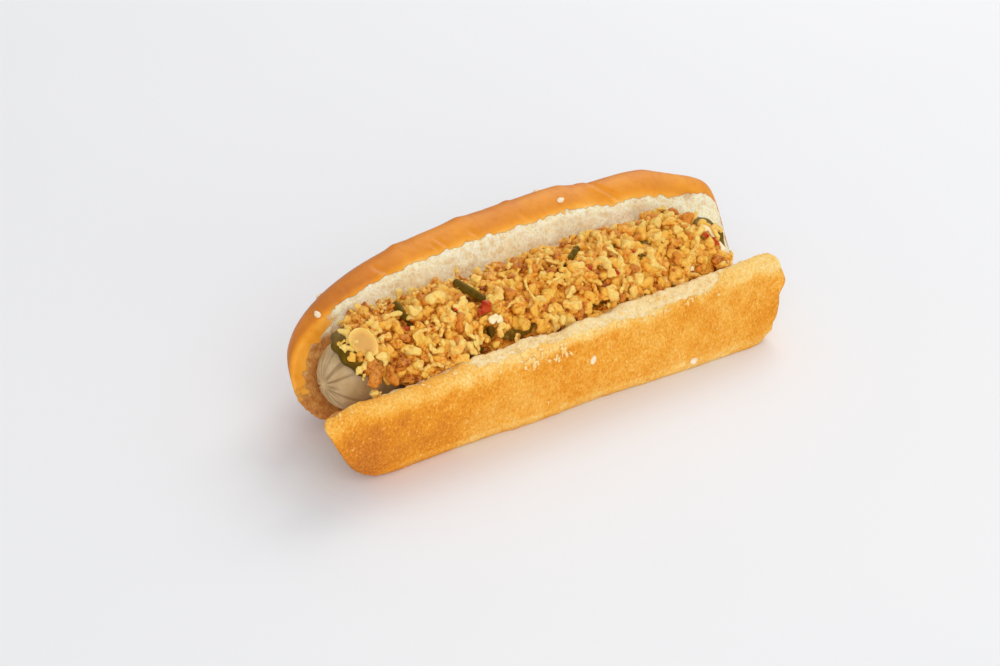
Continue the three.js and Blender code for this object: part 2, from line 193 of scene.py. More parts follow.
def cell_distance(points, size, seed):
    """Distance to the nearest of many scattered spots, one to each cell, in cell sizes."""
    place = points / size
    base = np.floor(place).astype(np.int64)
    nearest = np.full(len(points), 9.0)
    for step in itertools.product((-1, 0, 1), repeat=3):
        cell = base + np.array(step)
        spot = cell + np.stack([cell_number(cell, seed + k) for k in (1, 2, 3)], axis=-1)
        nearest = np.minimum(nearest, np.linalg.norm(place - spot, axis=1))
    return nearest


def from_slope(along, up, depth):
    """From the leaning cut face to the model: along it, up the slope, and the depth behind it."""
    y = FOOT_Y + up * math.sin(LEAN) + depth * math.cos(LEAN)
    z = FOOT_Z + up * math.cos(LEAN) - depth * math.sin(LEAN)
    return np.stack([along, y, z], axis=-1)


def to_slope(points):
    y = points[:, 1] - FOOT_Y
    z = points[:, 2] - FOOT_Z
    up = y * math.sin(LEAN) + z * math.cos(LEAN)
    depth = y * math.cos(LEAN) - z * math.sin(LEAN)
    return points[:, 0], up, depth


def back_ring(depth, steps=480):
    """One outline of the back half, at a depth behind its cut face."""
    drawn = max(0, (depth - WIDEST_DEPTH) / (DOME_DEPTH - WIDEST_DEPTH))
    dome = (1 - drawn**DOME_POWER) ** (1 / DOME_POWER)
    past = 1 - max(0, 1 - depth / WIDEST_DEPTH) ** 2
    top = between(DOME_POLE, CRUMB_TOP + CRUST_OVERHANG * past, dome)
    ground = (depth * math.sin(LEAN) - FOOT_Z) / math.cos(LEAN)
    rounded = (depth / DOME_DEPTH - BACK_ROUNDING_FROM) / (1 - BACK_ROUNDING_FROM)
    bottom = max(CRUMB_BOTTOM, ground - 2) + BACK_ROUNDING * max(0, rounded) ** 2
    bottom = min(bottom, DOME_POLE - 2)
    turn = np.arange(steps) / steps * 2 * math.pi
    c, s = np.cos(turn), np.sin(turn)
    along, power = np.zeros(steps), np.zeros(steps)
    for end, side in ((LEFT_END, c < 0), (RIGHT_END, c >= 0)):
        power[side] = between(end["crumb_power"], end["crust_power"], past)
        length = CRUMB_HALF_LENGTH + end["overhang"] * past - end["taper"] * depth
        along[side] = between(DOME_END_SHARE, 1, dome) * length
    along *= np.sign(c) * np.abs(c) ** (2 / power)
    up = (top + bottom) / 2 + (top - bottom) / 2 * np.sign(s) * np.abs(s) ** (2 / power)
    dip = sum(deep * fade(along, start, full) for deep, start, full in CREST_DIPS)
    up = up - dip * np.maximum(0, up / top)
    return from_slope(along, up, depth)


def rounded_outline(corners, radii):
    """A four-sided outline with round corners, always with the same number of points."""
    corner_steps, side_steps = 9, 37
    outline = []
    for i, corner in enumerate(corners):
        before, after = corners[i - 1], corners[(i + 1) % 4]
        start = between(corner, before, min(0.55, radii[i] / np.linalg.norm(corner - before)))
        end = between(corner, after, min(0.55, radii[i] / np.linalg.norm(corner - after)))
        after_radius = radii[(i + 1) % 4]
        after_start = between(after, corner, min(0.55, after_radius / np.linalg.norm(corner - after)))
        for t in np.linspace(0, 1, corner_steps):
            outline.append((1 - t) ** 2 * start + 2 * t * (1 - t) * corner + t * t * end)
        for t in np.linspace(0, 1, side_steps)[1:-1]:
            outline.append(between(end, after_start, t))
    return np.array(outline)


def foot_swell(x, z):
    low = np.maximum(0, 1 - np.maximum(0, z) / FOOT_SWELL_HEIGHT)
    return low * (FOOT_SWELL * fade(x, 0, FOOT_SWELL_TO) - FOOT_TUCK * fade(x, *FOOT_TUCK_FROM))


def flap_ring(y, top, bottom, inset):
    """One outline of the front flap and hinge, at a distance from front to back."""

    def left_at(z):
        share = (max(0, z) / FLAP_TOP) ** FLAP_LEFT_POWER
        return between(FLAP_LEFT_FOOT, FLAP_LEFT_TOP, share) + inset

    def rise(x):
        return FLAP_RISE * (x - FLAP_RISE_FROM) * (top / FLAP_TOP)

    right = FLAP_RIGHT - 0.5 * inset
    corners = np.array([
        (left_at(bottom), bottom),
        (right, bottom),
        (right, top + rise(right)),
        (left_at(top), top + rise(left_at(top))),
    ])
    outline = rounded_outline(corners, FLAP_CORNERS)
    x, z = outline[:, 0], outline[:, 1]
    near = np.clip((y + 8) / -8, 0, 1)
    return np.stack([x, y - near * foot_swell(x, z), z], axis=-1)


def smooth_stations(stations, steps):
    """More stations between the given ones, on a smooth curve through them."""
    given = np.array(stations, float)
    ends = np.vstack([2 * given[0] - given[1], given, 2 * given[-1] - given[-2]])
    found = []
    for i in range(len(given) - 1):
        a, b, c, d = ends[i:i + 4]
        for t in np.arange(steps) / steps:
            bend = 2 * a - 5 * b + 4 * c - d
            twist = 3 * b - a - 3 * c + d
            found.append(0.5 * (2 * b + (c - a) * t + bend * t**2 + twist * t**3))
    return [*found, given[-1]]


def mesh_object(name, points, faces):
    """A new mesh object from points in the model's millimetres."""
    mesh = bpy.data.meshes.new(name)
    mesh.from_pydata(((points + SHIFT) * MM).tolist(), [], [list(map(int, f)) for f in faces])
    mesh.update()
    mesh.shade_smooth()
    piece = bpy.data.objects.new(name, mesh)
    bpy.context.scene.collection.objects.link(piece)
    return piece


def points_of(piece):
    found = np.zeros(len(piece.data.vertices) * 3, np.float32)
    piece.data.vertices.foreach_get("co", found)
    return found.reshape(-1, 3).astype(float) / MM - SHIFT


def normals_of(piece):
    found = np.zeros(len(piece.data.vertices) * 3, np.float32)
    piece.data.vertex_normals.foreach_get("vector", found)
    return found.reshape(-1, 3).astype(float)


def move_points(piece, points):
    piece.data.vertices.foreach_set("co", ((points + SHIFT) * MM).astype(np.float32).ravel())
    piece.data.update()


def shell(rings):
    """Points and faces of a closed shell through rings of points, with a fan over each end."""
    count = len(rings[0])
    points = np.vstack([*rings, rings[0].mean(0), rings[-1].mean(0)])
    faces = []
    for r in range(len(rings) - 1):
        near, far = r * count, (r + 1) * count
        faces += [(near + i, near + (i + 1) % count, far + (i + 1) % count, far + i) for i in range(count)]
    last = (len(rings) - 1) * count
    for i in range(count):
        faces.append((len(points) - 2, (i + 1) % count, i))
        faces.append((len(points) - 1, last + i, last + (i + 1) % count))
    return points, faces


def joined(shells):
    """Several lots of points and faces as one lot."""
    points, faces, start = [], [], 0
    for some_points, some_faces in shells:
        points.append(some_points)
        faces += [tuple(start + i for i in face) for face in some_faces]
        start += len(some_points)
    return np.vstack(points), faces


def melted(piece, voxel, rounds):
    """The piece with everything in it melted into one even skin, then softened."""
    remesh = piece.modifiers.new("skin", "REMESH")
    remesh.mode = "VOXEL"
    remesh.voxel_size = voxel * MM
    soften = piece.modifiers.new("soften", "SMOOTH")
    soften.factor = 0.5
    soften.iterations = rounds
    graph = bpy.context.evaluated_depsgraph_get()
    made = bpy.data.meshes.new_from_object(piece.evaluated_get(graph))
    old = piece.data
    piece.modifiers.clear()
    piece.data = made
    bpy.data.meshes.remove(old)
    made.name = piece.name
    made.shade_smooth()
    return piece


def note(piece, name, values):
    """Keeps one number for each point of the mesh, which the finish reads."""
    kept = piece.data.attributes.new(name, "FLOAT", "POINT")
    kept.data.foreach_set("value", np.asarray(values, np.float32))


def sausage_distance(points):
    """Distance from the sausage's skin, and the way straight out from it."""
    low, high = SAUSAGE_LEFT + SAUSAGE_RADIUS, SAUSAGE_RIGHT - SAUSAGE_RADIUS
    axis = np.tile((0.0, SAUSAGE_Y, SAUSAGE_Z), (len(points), 1))
    axis[:, 0] = np.clip(points[:, 0], low, high)
    away = points - axis
    distance = np.linalg.norm(away, axis=1)
    return distance - SAUSAGE_RADIUS, away / np.maximum(distance, 1e-6)[:, None]


back_depths = [*np.linspace(0, WIDEST_DEPTH, 16)]
back_depths += [
    between(WIDEST_DEPTH, DOME_LAST_RING, math.sin(t)) for t in np.linspace(0, math.pi / 2, 34)[1:]
]
back_half = shell([back_ring(d) for d in back_depths])
flap = shell([flap_ring(*station) for station in smooth_stations(FLAP_STATIONS, 4)])
bun = mesh_object("bun_roll", *joined([back_half, flap]))
melted(bun, SKIN_VOXEL, rounds=5)

points = points_of(bun)
normals = normals_of(bun)
along, up, depth = to_slope(points)
x, y, z = points.T

# Which half each point is on
is_back = fade(depth, -1.6, -0.4) * fade(z, 3, 6)
is_front = 1 - is_back

# How open the crumb is, from 0 on crust to 1 on crumb, with a ragged border
ragged = 0.7 * swell(points, 3.1, 5) + 0.5 * swell(points, 1.5, 6) + 0.25 * swell(points, 0.8, 7)
corner = fade(x + 3 * ragged, *CORNER_ALONG) * fade(up + 3 * ragged, *CORNER_UP)
crust_from = CRUST_RIM + CORNER_RIM * corner
open_back = is_back * fade(depth + 0.45 * ragged, crust_from, crust_from - 0.95)
oval = (np.abs(along) / CRUMB_HALF_LENGTH) ** 2.5 + (np.abs(up - CRUMB_MIDDLE) / CRUMB_HALF_HEIGHT) ** 2.5
closed = fade(x, *CLOSED_ALONG) * fade(up + 3 * ragged, *CLOSED_UP)
open_back *= 1 - fade(oval + 0.06 * ragged, 0.79, 0.92) * closed
round_lip = (y - FLAP_FACE_Y) + 0.6 * (z - FLAP_RISE * (x - FLAP_RISE_FROM) - LIP_HEIGHT)
torn_from = LIP_WHOLE
for start, left, right in LIP_TEARS:
    torn_from = between(torn_from, start, fade(x, *left) * fade(x, *right))
open_front = is_front * fade(round_lip + 1.1 * ragged, torn_from - 0.5, torn_from + 0.5) * fade(z, 22.5, 24)
open_front = np.maximum(open_front, is_front * fade(y, -15.2, -14) * fade(z, 2, 4))
crumb = np.clip(np.maximum(open_back, open_front), 0, 1)

# How brown the crust is baked: the tall half from its rim to its back, then the flap from its foot to its
# lip. The flap also gets painted shade, darker towards its left end.
browning = 0.2 + 0.3 * fade(depth, 0.3, 2.6) + 0.2 * fade(depth, 4, 12) - 0.2 * fade(z, 9, 1)
browning += 0.07 * swell(points, 17, 11) + 0.06 * swell(points, 6, 12) + 0.08 + 0.16 * fade(x, -20, -80)
flap_brown = 0.44 + 0.1 * swell(points, 15, 13) + 0.08 * swell(points, 5, 14)
flap_brown -= 0.26 * fade(round_lip + 1.4 * swell(points, 7, 15), -1.5, 2.5)
flap_brown -= 0.1 * fade(z, 5.2, 3.2)
# The first term here is painted shade, darkening the flap towards its left end.
flap_brown += 0.2 * fade(x, -40, -95) - 0.5 * fade(x + 0.5 * ragged, -102, -104.5) * fade(z, 9, 14)
flap_brown -= 0.1 * fade(x, 60, 88) * fade(z, 17, 27)
brown = np.clip(browning * is_back + flap_brown * is_front, 0, 1)

# Where fat from the filling has gone into the crumb, and painted shade on the crumb next to the sausage
sausage_gap = sausage_distance(points)[0]
left_soak = fade(x, *SOAKED_ALONG) * fade(up + 2 * ragged, *SOAKED_UP)
# The last term is painted shade: the crumb coloured darker where it lies against the sausage.
soaked = left_soak * (0.95 + 0.25 * swell(points, 3.5, 17)) + 0.75 * fade(sausage_gap, 7, 2.5)
stained = 0.5 * fade(x, *STAINED_ALONG) * fade(up, *STAINED_UP) * np.clip(0.5 + swell(points, 6, 18), 0, 1)
soaked = np.clip(soaked * fade(x, *SOAKED_TO) + stained * is_back, 0, 1)

# The relief, in millimetres along the surface's normal
height = 0.45 * swell(points, 23, 21) + 0.16 * swell(points, 9, 22)
crust = 1 - crumb

# Creases, blisters and fine wrinkles that came on the tall half in the oven
for (x1, up1), (x2, up2), groove, width, shoulder in CREASES:
    run = np.array((x2 - x1, up2 - up1))
    share = ((along - x1) * run[0] + (up - up1) * run[1]) / (run @ run)
    wiggle = 0.5 * swell(points, 4.5, 23)
    off = ((along - x1) * run[1] - (up - up1) * run[0]) / np.linalg.norm(run) + wiggle
    held = fade(share, -0.15, 0.2) * fade(share, 1.12, 0.85)
    held = held * fade(depth, 15, 9) * is_back * fade(depth, 0, 1)
    height += held * (shoulder * hump((off - 2.2 * width) / (2.4 * width)))
    height -= held * groove * hump(off / width)
for at_along, at_up, at_depth, rise, reach in BLISTERS:
    away = (along - at_along) ** 2 + (up - at_up) ** 2 + (depth - at_depth) ** 2
    height += rise * np.exp(-away / reach**2) * is_back
wrinkles = swell(points * (1.6, 0.55, 0.55), 2.6, 24)
height += 0.09 * crust * is_back * wrinkles * fade(swell(points, 13, 25), 0.0, 0.5)

# The flap's uneven end, its grainy face and the fold along its foot
front_face = is_front * crust * fade(normals[:, 1], -0.2, -0.6)
flap_end = is_front * fade(x, *FLAP_END_ALONG) * fade(y, *FLAP_END_INWARD)
for level, reach, out in FLAP_END_FORMS:
    height += out * hump((z - level) / reach) * flap_end
pebbles = 0.10 * swell(points, 1.7, 26) + 0.13 * swell(points * (1, 1, 0.7), 3.6, 27)
height += front_face * (pebbles + 0.5 * fade(np.abs(z - 14.5), 10, 0))
fold = z - FOLD_HEIGHT - 0.5 * swell(points * (1, 0, 0), 26, 28)
fold = fold - 0.03 * (x - 30) * (x > 30) - 1.2 * fade(x, -50, -90)
height -= front_face * FOLD_DEPTH * hump(fold / FOLD_WIDTH)
ground_wrinkles = swell(points * (0.35, 1, 1.6), 1.9, 29)
height += front_face * fade(fold, 0.3, -1.0) * (0.25 + 0.22 * ground_wrinkles)

# Open pores and torn crumb, with a ragged fringe where it meets the crust
pores = np.maximum(0, 0.62 - cell_distance(points, 2.5, 31))
pores += 0.6 * np.maximum(0, 0.5 - cell_distance(points, 1.45, 35))
pores *= 0.7 + 0.5 * swell(points, 9, 39)
torn = 0.75 * swell(points, 6.5, 41) + 0.35 * is_front * swell(points, 1.9, 47)
torn = torn + 0.42 * swell(points, 2.7, 42) + 0.2 * swell(points, 1.3, 43)
height += crumb * (torn - 1.7 * pores) * (1 - 0.6 * soaked) * 0.8
fringe = crumb * (1 - crumb) * 4
height += fringe * (0.3 * swell(points, 1.9, 44) + 0.1)
for at_along, at_up, reach, sunk in TEAR_POCKETS:
    away = (along - at_along) ** 2 + (up - at_up) ** 2
    height -= sunk * np.exp(-away / reach**2) * fade(depth, 4, 1.5) * is_back
top_edge = is_front * fade(z, 24, 28) * fade(y, -11, -15)
edge_waves = 0.75 * swell(points * (1, 0, 0), 11, 45) + 0.45 * swell(points * (1, 0.4, 0), 3.4, 46)

moved = points + normals * height[:, None]
moved[:, 2] += top_edge * edge_waves
gap, outward = sausage_distance(moved)
moved += outward * np.maximum(0, SAUSAGE_CLEARANCE - gap)[:, None]
moved[:, 2] = np.maximum(0, moved[:, 2])
move_points(bun, moved)
note(bun, "crumb", crumb)
note(bun, "brown", brown)
note(bun, "soaked", soaked)
# This number is painted shade: the finish darkens the crumb in its pores.
note(bun, "pore", np.clip(pores * 2.2, 0, 1) * crumb)
note(bun, "glaze", is_back)


class Shade:
    """One output of a node in a finish. Sums of shades are written as plain Python and add Math nodes."""

    def __init__(self, tree, socket=None):
        self.tree = tree
        self.socket = socket

    def node(self, kind, settings=None, sockets=None, output=0):
        """Adds a node, sets its settings and a ramp's stops first, then fills or links its sockets."""
        made = self.tree.nodes.new(kind)
        for name, value in (settings or {}).items():
            if name == "stops":
                ramp = made.color_ramp
                while len(ramp.elements) < len(value):
                    ramp.elements.new(0.5)
                for element, (place, colour) in zip(ramp.elements, value):
                    element.position = place
                    element.color = colour
            else:
                setattr(made, name, value)
        for name, value in (sockets or {}).items():
            if isinstance(value, Shade):
                self.tree.links.new(value.socket, made.inputs[name])
            else:
                made.inputs[name].default_value = value
        return Shade(self.tree, made.outputs[output] if made.outputs else None)

    def math(self, operation, *values):
        return self.node("ShaderNodeMath", {"operation": operation}, dict(enumerate(values)))

    def __add__(self, other):
        return self.math("ADD", self, other)

    def __radd__(self, other):
        return self.math("ADD", other, self)

    def __sub__(self, other):
        return self.math("SUBTRACT", self, other)

    def __rsub__(self, other):
        return self.math("SUBTRACT", other, self)

    def __mul__(self, other):
        return self.math("MULTIPLY", self, other)

    def __rmul__(self, other):
        return self.math("MULTIPLY", other, self)


def paint(red, green, blue):
    """A colour as a painter's 0 to 255 steps, turned into light."""
    steps = [c / 255 for c in (red, green, blue)]
    return (*[c / 12.92 if c < 0.04045 else ((c + 0.055) / 1.055) ** 2.4 for c in steps], 1)


def finish_of(name):
    """A new material, cleared, and a shade to build from."""
    material = bpy.data.materials.new(name)
    material.use_nodes = True
    material.node_tree.nodes.clear()
    return material, Shade(material.node_tree)


def grain(base, scale, detail=3.0, roughness=0.55, stretch=None):
    """Even noise from 0 to 1 over the object's own metres, with so many grains to a metre."""
    where = base.node("ShaderNodeTexCoord", output=3)
    if stretch:
        where = base.node("ShaderNodeVectorMath", {"operation": "MULTIPLY"}, {0: where, 1: stretch})
    sockets = {"Vector": where, "Scale": scale, "Detail": detail, "Roughness": roughness}
    return base.node("ShaderNodeTexNoise", {}, sockets)


def step(base, value, start, end):
    """0 below start and 1 above end, for a shade."""
    sockets = {"Value": value, "From Min": start, "From Max": end}
    return base.node("ShaderNodeMapRange", {"interpolation_type": "SMOOTHSTEP"}, sockets)


def blend(base, share, first, second):
    """The first colour where the share is 0, and the second where it is 1."""
    first, second = [c if isinstance(c, Shade) else paint(*c) for c in (first, second)]
    return base.node("ShaderNodeMix", {"data_type": "RGBA"}, {0: share, 6: first, 7: second}, output=2)


def ramp(base, value, *stops):
    """Colours in turn as the value rises. Each stop is a place from 0 to 1 and a painter's colour."""
    stops = [(place, paint(*colour)) for place, *colour in stops]
    return base.node("ShaderNodeValToRGB", {"stops": stops}, {"Fac": value})


def kept_number(base, name):
    return base.node("ShaderNodeAttribute", {"attribute_name": name}, output=2)


def relief(base, value, distance, strength):
    sockets = {"Height": value, "Distance": distance, "Strength": strength}
    return base.node("ShaderNodeBump", {}, sockets)


def surface(base, colour, roughness, normal, **constants):
    """The shader that everything on the hot dog has. Constants are set on its own sockets."""
    sockets = {"Base Color": colour, "Roughness": roughness, "Normal": normal}
    sockets.update({name.replace("_", " "): value for name, value in constants.items()})
    shader = base.node("ShaderNodeBsdfPrincipled", {}, sockets)
    base.node("ShaderNodeOutputMaterial", {}, {"Surface": shader})


def baked_roll():
    material, base = finish_of("baked_roll")
    open_crumb = kept_number(base, "crumb")
    baked = kept_number(base, "brown")
    soaked_in = kept_number(base, "soaked")
    hollow = kept_number(base, "pore")
    glazed = kept_number(base, "glaze")
    broad = grain(base, 70, 3)
    fine = grain(base, 420, 4, 0.6)
    speck = grain(base, 1300, 3, 0.65, stretch=(1, 1, 0.7))
    tiny = grain(base, 2700, 2, 0.6)

    matt = 1 - glazed
    sandy = 0.75 * (speck - 0.5) + 0.35 * (tiny - 0.5)
    # The kept brown number also carries painted shade, darkening the flap towards its left end.
    tone = baked + 0.2 * (broad - 0.5) + 0.14 * (fine - 0.5) - sandy * matt
    crust_colour = ramp(
        base, tone,
        (0.0, 255, 232, 172),
        (0.14, 254, 214, 128),
        (0.32, 250, 184, 76),
        (0.5, 238, 154, 34),
        (0.7, 214, 126, 32),
        (1.0, 162, 86, 28),
    )
    pale_speck = step(base, speck, 0.6, 0.72) * matt
    crust_colour = blend(base, 0.5 * pale_speck, crust_colour, (255, 222, 150))
    dark_speck = step(base, fine, 0.58, 0.74) * 0.34
    crust_colour = blend(base, dark_speck, crust_colour, (196, 100, 18))

    crumb_tone = 0.7 * (fine - 0.5) + 0.5 * (broad - 0.5) + 0.5 * (speck - 0.5) + 0.52
    crumb_colour = ramp(
        base, crumb_tone,
        (0.15, 252, 224, 166),
        (0.5, 255, 245, 206),
        (0.8, 255, 253, 238),
    )
    crumb_colour = blend(base, 0.55 * matt, crumb_colour, (254, 206, 108))
    # Painted shade: the crumb darker and browner down in its pores.
    crumb_colour = blend(base, hollow * 0.55, crumb_colour, (226, 180, 110))
    # Painted shade: small dark pin holes scattered over the crumb.
    pin_holes = step(base, speck, 0.48, 0.36)
    crumb_colour = blend(base, pin_holes * 0.36, crumb_colour, (216, 166, 96))
    crumb_colour = blend(base, step(base, speck, 0.56, 0.68) * 0.6, crumb_colour, (255, 253, 242))
    # This colour is real fat stain in places and painted shade on the crumb next to the sausage.
    soak_colour = ramp(
        base, fine + 0.5 * (speck - 0.5),
        (0.3, 176, 96, 14),
        (0.5, 204, 126, 30),
        (0.72, 226, 168, 84),
    )
    soak_share = step(base, soaked_in + 0.5 * (broad - 0.5) + 0.3 * (fine - 0.5), 0.25, 0.75)
    crumb_colour = blend(base, soak_share * 0.92, crumb_colour, soak_colour)

    border = step(base, open_crumb + 0.5 * (fine - 0.5) + 0.25 * (speck - 0.5), 0.38, 0.62)
    colour = blend(base, border, crust_colour, crumb_colour)
    glossy = glazed * (1 - border)
    rough = 0.8 - 0.36 * glossy + 0.12 * (fine - 0.5) - 0.3 * (soak_share * border)
    pebbled = (1 - border) * matt
    heights = speck * pebbled + 0.45 * (tiny * pebbled) + 0.1 * (fine * (1 - border))
    heights = heights + border * (0.9 * speck + 0.5 * tiny + fine) + 0.08 * (tiny * glossy)
    normal = relief(base, heights, 0.0005, 0.9)
    surface(
        base, colour, rough, normal,
        Subsurface_Weight=0.12, Subsurface_Radius=(1.0, 0.5, 0.25), Subsurface_Scale=0.003,
        Specular_IOR_Level=0.22,
    )
    return material


bun.data.materials.append(baked_roll())
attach(bun, "root")
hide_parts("bun")


# Sesame seeds: small flat ivory drops, baked on to the glazed crust, with one or two stuck to the flap.
# They are sown before baking, so each lies flat and a little sunk in the crust.

SEED_SIZE = (3.3, 2.3, 1.1)
DOME_SEEDS = [(0.398, 2.4, 80), (0.243, 3, 12), (0.396, 11, 20), (0.2485, 9.8, 40)]  # share, depth, turn
FLAP_SEEDS = [(2, 17.3, 60), (45.4, 3.3, 8)]  # along, height, turn
STANDS_OFF = 0.15  # how far the middle of a seed or a crumb is from the skin


def axes_to(normal):
    """The turn that takes straight up to the normal, the shortest way."""
    return np.array(Vector((0, 0, 1)).rotation_difference(Vector(normal)).to_matrix())


def turned_about_z(points, degrees):
    c, s = math.cos(math.radians(degrees)), math.sin(math.radians(degrees))
    return points @ np.array(((c, s, 0), (-s, c, 0), (0, 0, 1)))


def set_down(points, turn, facing, place):
    """Points turned about straight up, tipped to face a way, and moved to a place."""
    return turned_about_z(points, turn) @ axes_to(facing).T + place


def ball(rounds, steps):
    """A round grid of points and faces, one across."""
    rings = []
    for tilt in np.linspace(0.04, math.pi - 0.04, rounds):
        turn = np.arange(steps) / steps * 2 * math.pi
        wide, low = np.sin(tilt), np.full(steps, -np.cos(tilt))
        rings.append(np.stack([wide * np.cos(turn), wide * np.sin(turn), low], 1) / 2)
    return shell(rings)


def seed_shape():
    points, faces = ball(14, 24)
    pointed = points[:, 0] + 0.5
    points[:, 1] *= 1 - 0.42 * pointed**2
    points[:, 2] *= 1 - 0.3 * pointed**2
    return points * SEED_SIZE, faces


def crust_place(share, depth):
    """A point of the dome's crust at a share of the way round and a depth."""
    steps = 4000
    return back_ring(depth, steps)[round(share * steps)]


bun_skin = BVHTree.FromPolygons(points_of(bun).tolist(), [list(p.vertices) for p in bun.data.polygons])


def on_the_bun(point):
    """The nearest point of the finished bun's skin, its normal, and how far off it is."""
    place, normal, _, distance = bun_skin.find_nearest(Vector(point))
    return np.array(place), np.array(normal), distance


def flap_face(x, z):
    """A point of the flap's front face at a place along it and a height."""
    return np.array((x, FLAP_FACE_Y - foot_swell(x, z), z))


seed_shells = []
seed_places = [(crust_place(share, depth), turn) for share, depth, turn in DOME_SEEDS]
seed_places += [(flap_face(x, z), turn) for x, z, turn in FLAP_SEEDS]
for place, turn in seed_places:
    seed_points, seed_faces = seed_shape()
    place, normal, _ = on_the_bun(place)
    seed_points = set_down(seed_points, turn, normal, place + STANDS_OFF * normal)
    seed_shells.append((seed_points, seed_faces))
seeds = mesh_object("sesame_seeds", *joined(seed_shells))

seed_finish, base = finish_of("toasted_sesame")
seed_tone = grain(base, 900, 3)
seed_colour = ramp(base, seed_tone, (0.3, 236, 206, 158), (0.7, 253, 240, 214))
seed_relief = relief(base, seed_tone, 0.0001, 0.4)
surface(base, seed_colour, 0.45, seed_relief, Subsurface_Weight=0.1, Subsurface_Scale=0.001)
seeds.data.materials.append(seed_finish)
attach(seeds, "root")


# The sausage: a pale fine wurst in a natural skin, lying in the fold of the bun.
# Each end was twisted off, so the skin runs together there in creases round a small pucker.

PUCKER_DEPTH = 1.4
SKIN_CREASES = 19
CREASE_REACHES = [9, 13, 18, 25, 33]
SKIN_SHRUNK = 0.22
CAP_STEPS, BARREL_STEPS, ROUND_STEPS = 60, 100, 132
sausage_random = np.random.default_rng(7)

end_turn = np.linspace(0, math.pi / 2, CAP_STEPS)
cap_along = SAUSAGE_LEFT + SAUSAGE_RADIUS * (1 - np.cos(end_turn))
cap_radius = SAUSAGE_RADIUS * np.sin(end_turn)
barrel = np.linspace(cap_along[-1], SAUSAGE_RIGHT - SAUSAGE_RADIUS, BARREL_STEPS)[1:-1]
far_cap = SAUSAGE_LEFT + SAUSAGE_RIGHT - cap_along[::-1]
line_along = np.concatenate([cap_along, barrel, far_cap])
line_radius = np.concatenate([cap_radius, np.full(len(barrel), SAUSAGE_RADIUS), cap_radius[::-1]])
line_radius = np.maximum(line_radius, 0.05)
cap_run = SAUSAGE_RADIUS * end_turn
from_end = np.concatenate([cap_run, barrel - SAUSAGE_LEFT, cap_run[::-1]])
turn = np.arange(ROUND_STEPS) / ROUND_STEPS * 2 * math.pi
grid_turn, grid_run = np.meshgrid(turn, np.arange(len(line_along)))
grid_end = from_end[grid_run]
is_left = grid_run < len(line_along) / 2
crease_depth = np.zeros(grid_turn.shape)
for side in (True, False):
    for k in range(SKIN_CREASES):
        middle = (k + sausage_random.uniform(-0.35, 0.35)) / SKIN_CREASES * 2 * math.pi
        reach = sausage_random.choice(CREASE_REACHES)
        deep = sausage_random.uniform(0.25, 0.65)
        width = sausage_random.uniform(0.28, 0.5)
        curl = sausage_random.uniform(-0.35, 0.35)
        bent = middle + curl * np.minimum(grid_end / 22, 1.6) ** 1.5
        away = np.angle(np.exp(1j * (grid_turn - bent))) * np.maximum(line_radius[grid_run], 2.5)
        line = hump(away / width) * fade(grid_end, reach, reach * 0.45) * fade(grid_end, 1, 4.5)
        crease_depth += np.where(is_left == side, deep * line, 0)
puff = 0.28 * np.cos(SKIN_CREASES * grid_turn / 2 + 1.3 * np.sin(2 * grid_turn)) * fade(grid_end, 16, 4)
on_tube = np.stack([line_along[grid_run], 12 * np.cos(grid_turn), 12 * np.sin(grid_turn)], -1)
on_tube = on_tube.reshape(-1, 3)
uneven = (0.22 * swell(on_tube, 16, 61) + 0.07 * swell(on_tube, 4, 62)).reshape(grid_turn.shape)
body_radius = 0.996 * line_radius[grid_run] - crease_depth - SKIN_SHRUNK
body_radius = np.maximum(body_radius + (puff + uneven) * fade(grid_end, 0, 4), 0.03)
pucker = PUCKER_DEPTH * hump(line_radius[grid_run] / 1.9) + 0.35 * crease_depth
body_along = line_along[grid_run] + np.where(is_left, pucker, -pucker)
sausage_rings = np.stack([
    body_along,
    SAUSAGE_Y + body_radius * np.cos(grid_turn),
    SAUSAGE_Z + body_radius * np.sin(grid_turn),
], axis=-1)
sausage = mesh_object("wurst", *shell(list(sausage_rings)))
# This number is used as painted shade down in the creases at the ends.
note(sausage, "crease", [*np.clip(crease_depth / 0.4, 0, 1).ravel(), 1, 1])

wurst_finish, base = finish_of("pale_wurst_skin")
soft_mottle = grain(base, 130, 3)
long_grain = grain(base, 520, 4, 0.6, stretch=(0.25, 1, 1))
flecks = grain(base, 1500, 2, 0.5)
creased = kept_number(base, "crease")
skin = ramp(
    base, soft_mottle + 0.35 * (long_grain - 0.5),
    (0.3, 184, 150, 100),
    (0.55, 206, 174, 124),
    (0.75, 220, 192, 146),
)
# Painted shade: the skin darker down in the creases at the twisted ends.
skin = blend(base, creased * 0.7, skin, (138, 100, 58))
skin = blend(base, step(base, flecks, 0.70, 0.76) * 0.75, skin, (112, 84, 52))
wurst_relief = relief(base, long_grain + 0.4 * flecks, 0.00022, 0.6)
surface(
    base, skin, 0.44 + 0.14 * (soft_mottle - 0.5), wurst_relief,
    Subsurface_Weight=0.2, Subsurface_Radius=(1.0, 0.6, 0.4), Subsurface_Scale=0.002,
)
sausage.data.materials.append(wurst_finish)
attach(sausage, "root")
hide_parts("sausage")


# Pickle slices: rounds of gherkin, some draped over the sausage and some standing tilted in the onions.
# Each is cut straight across the fruit, with a dark warty skin, wet green flesh and a seedy middle.

GAP = 0.35
SLICE_THICKNESS = 2.4
SLICE_WAVES = 11
SLICE_WAVE_HEIGHT = 0.35
SLICE_RIM = 0.9
WRAPPED_SLICES = [  # along, degrees round from the top, radius, bend
    (-73, 24, 11.8, 15),
    (-43.5, 56, 11.4, 16),
    (-18.5, 58, 12.4, 16),
    (17, 54, 11.4, 17),
    (39.4, 4, 11.6, 19),
    (62, 40, 11.8, 15),
]
STANDING_SLICES = [  # middle, radius, axis
    ((-54, 7.4, 39.2), 5.6, (0.788, -0.227, 0.574)),
    ((-27.4, 7.1, 39.6), 7, (0.658, 0.001, 0.756)),
    ((12.6, 6.6, 39.4), 5.8, (-0.488, 0.72, 0.49)),
]


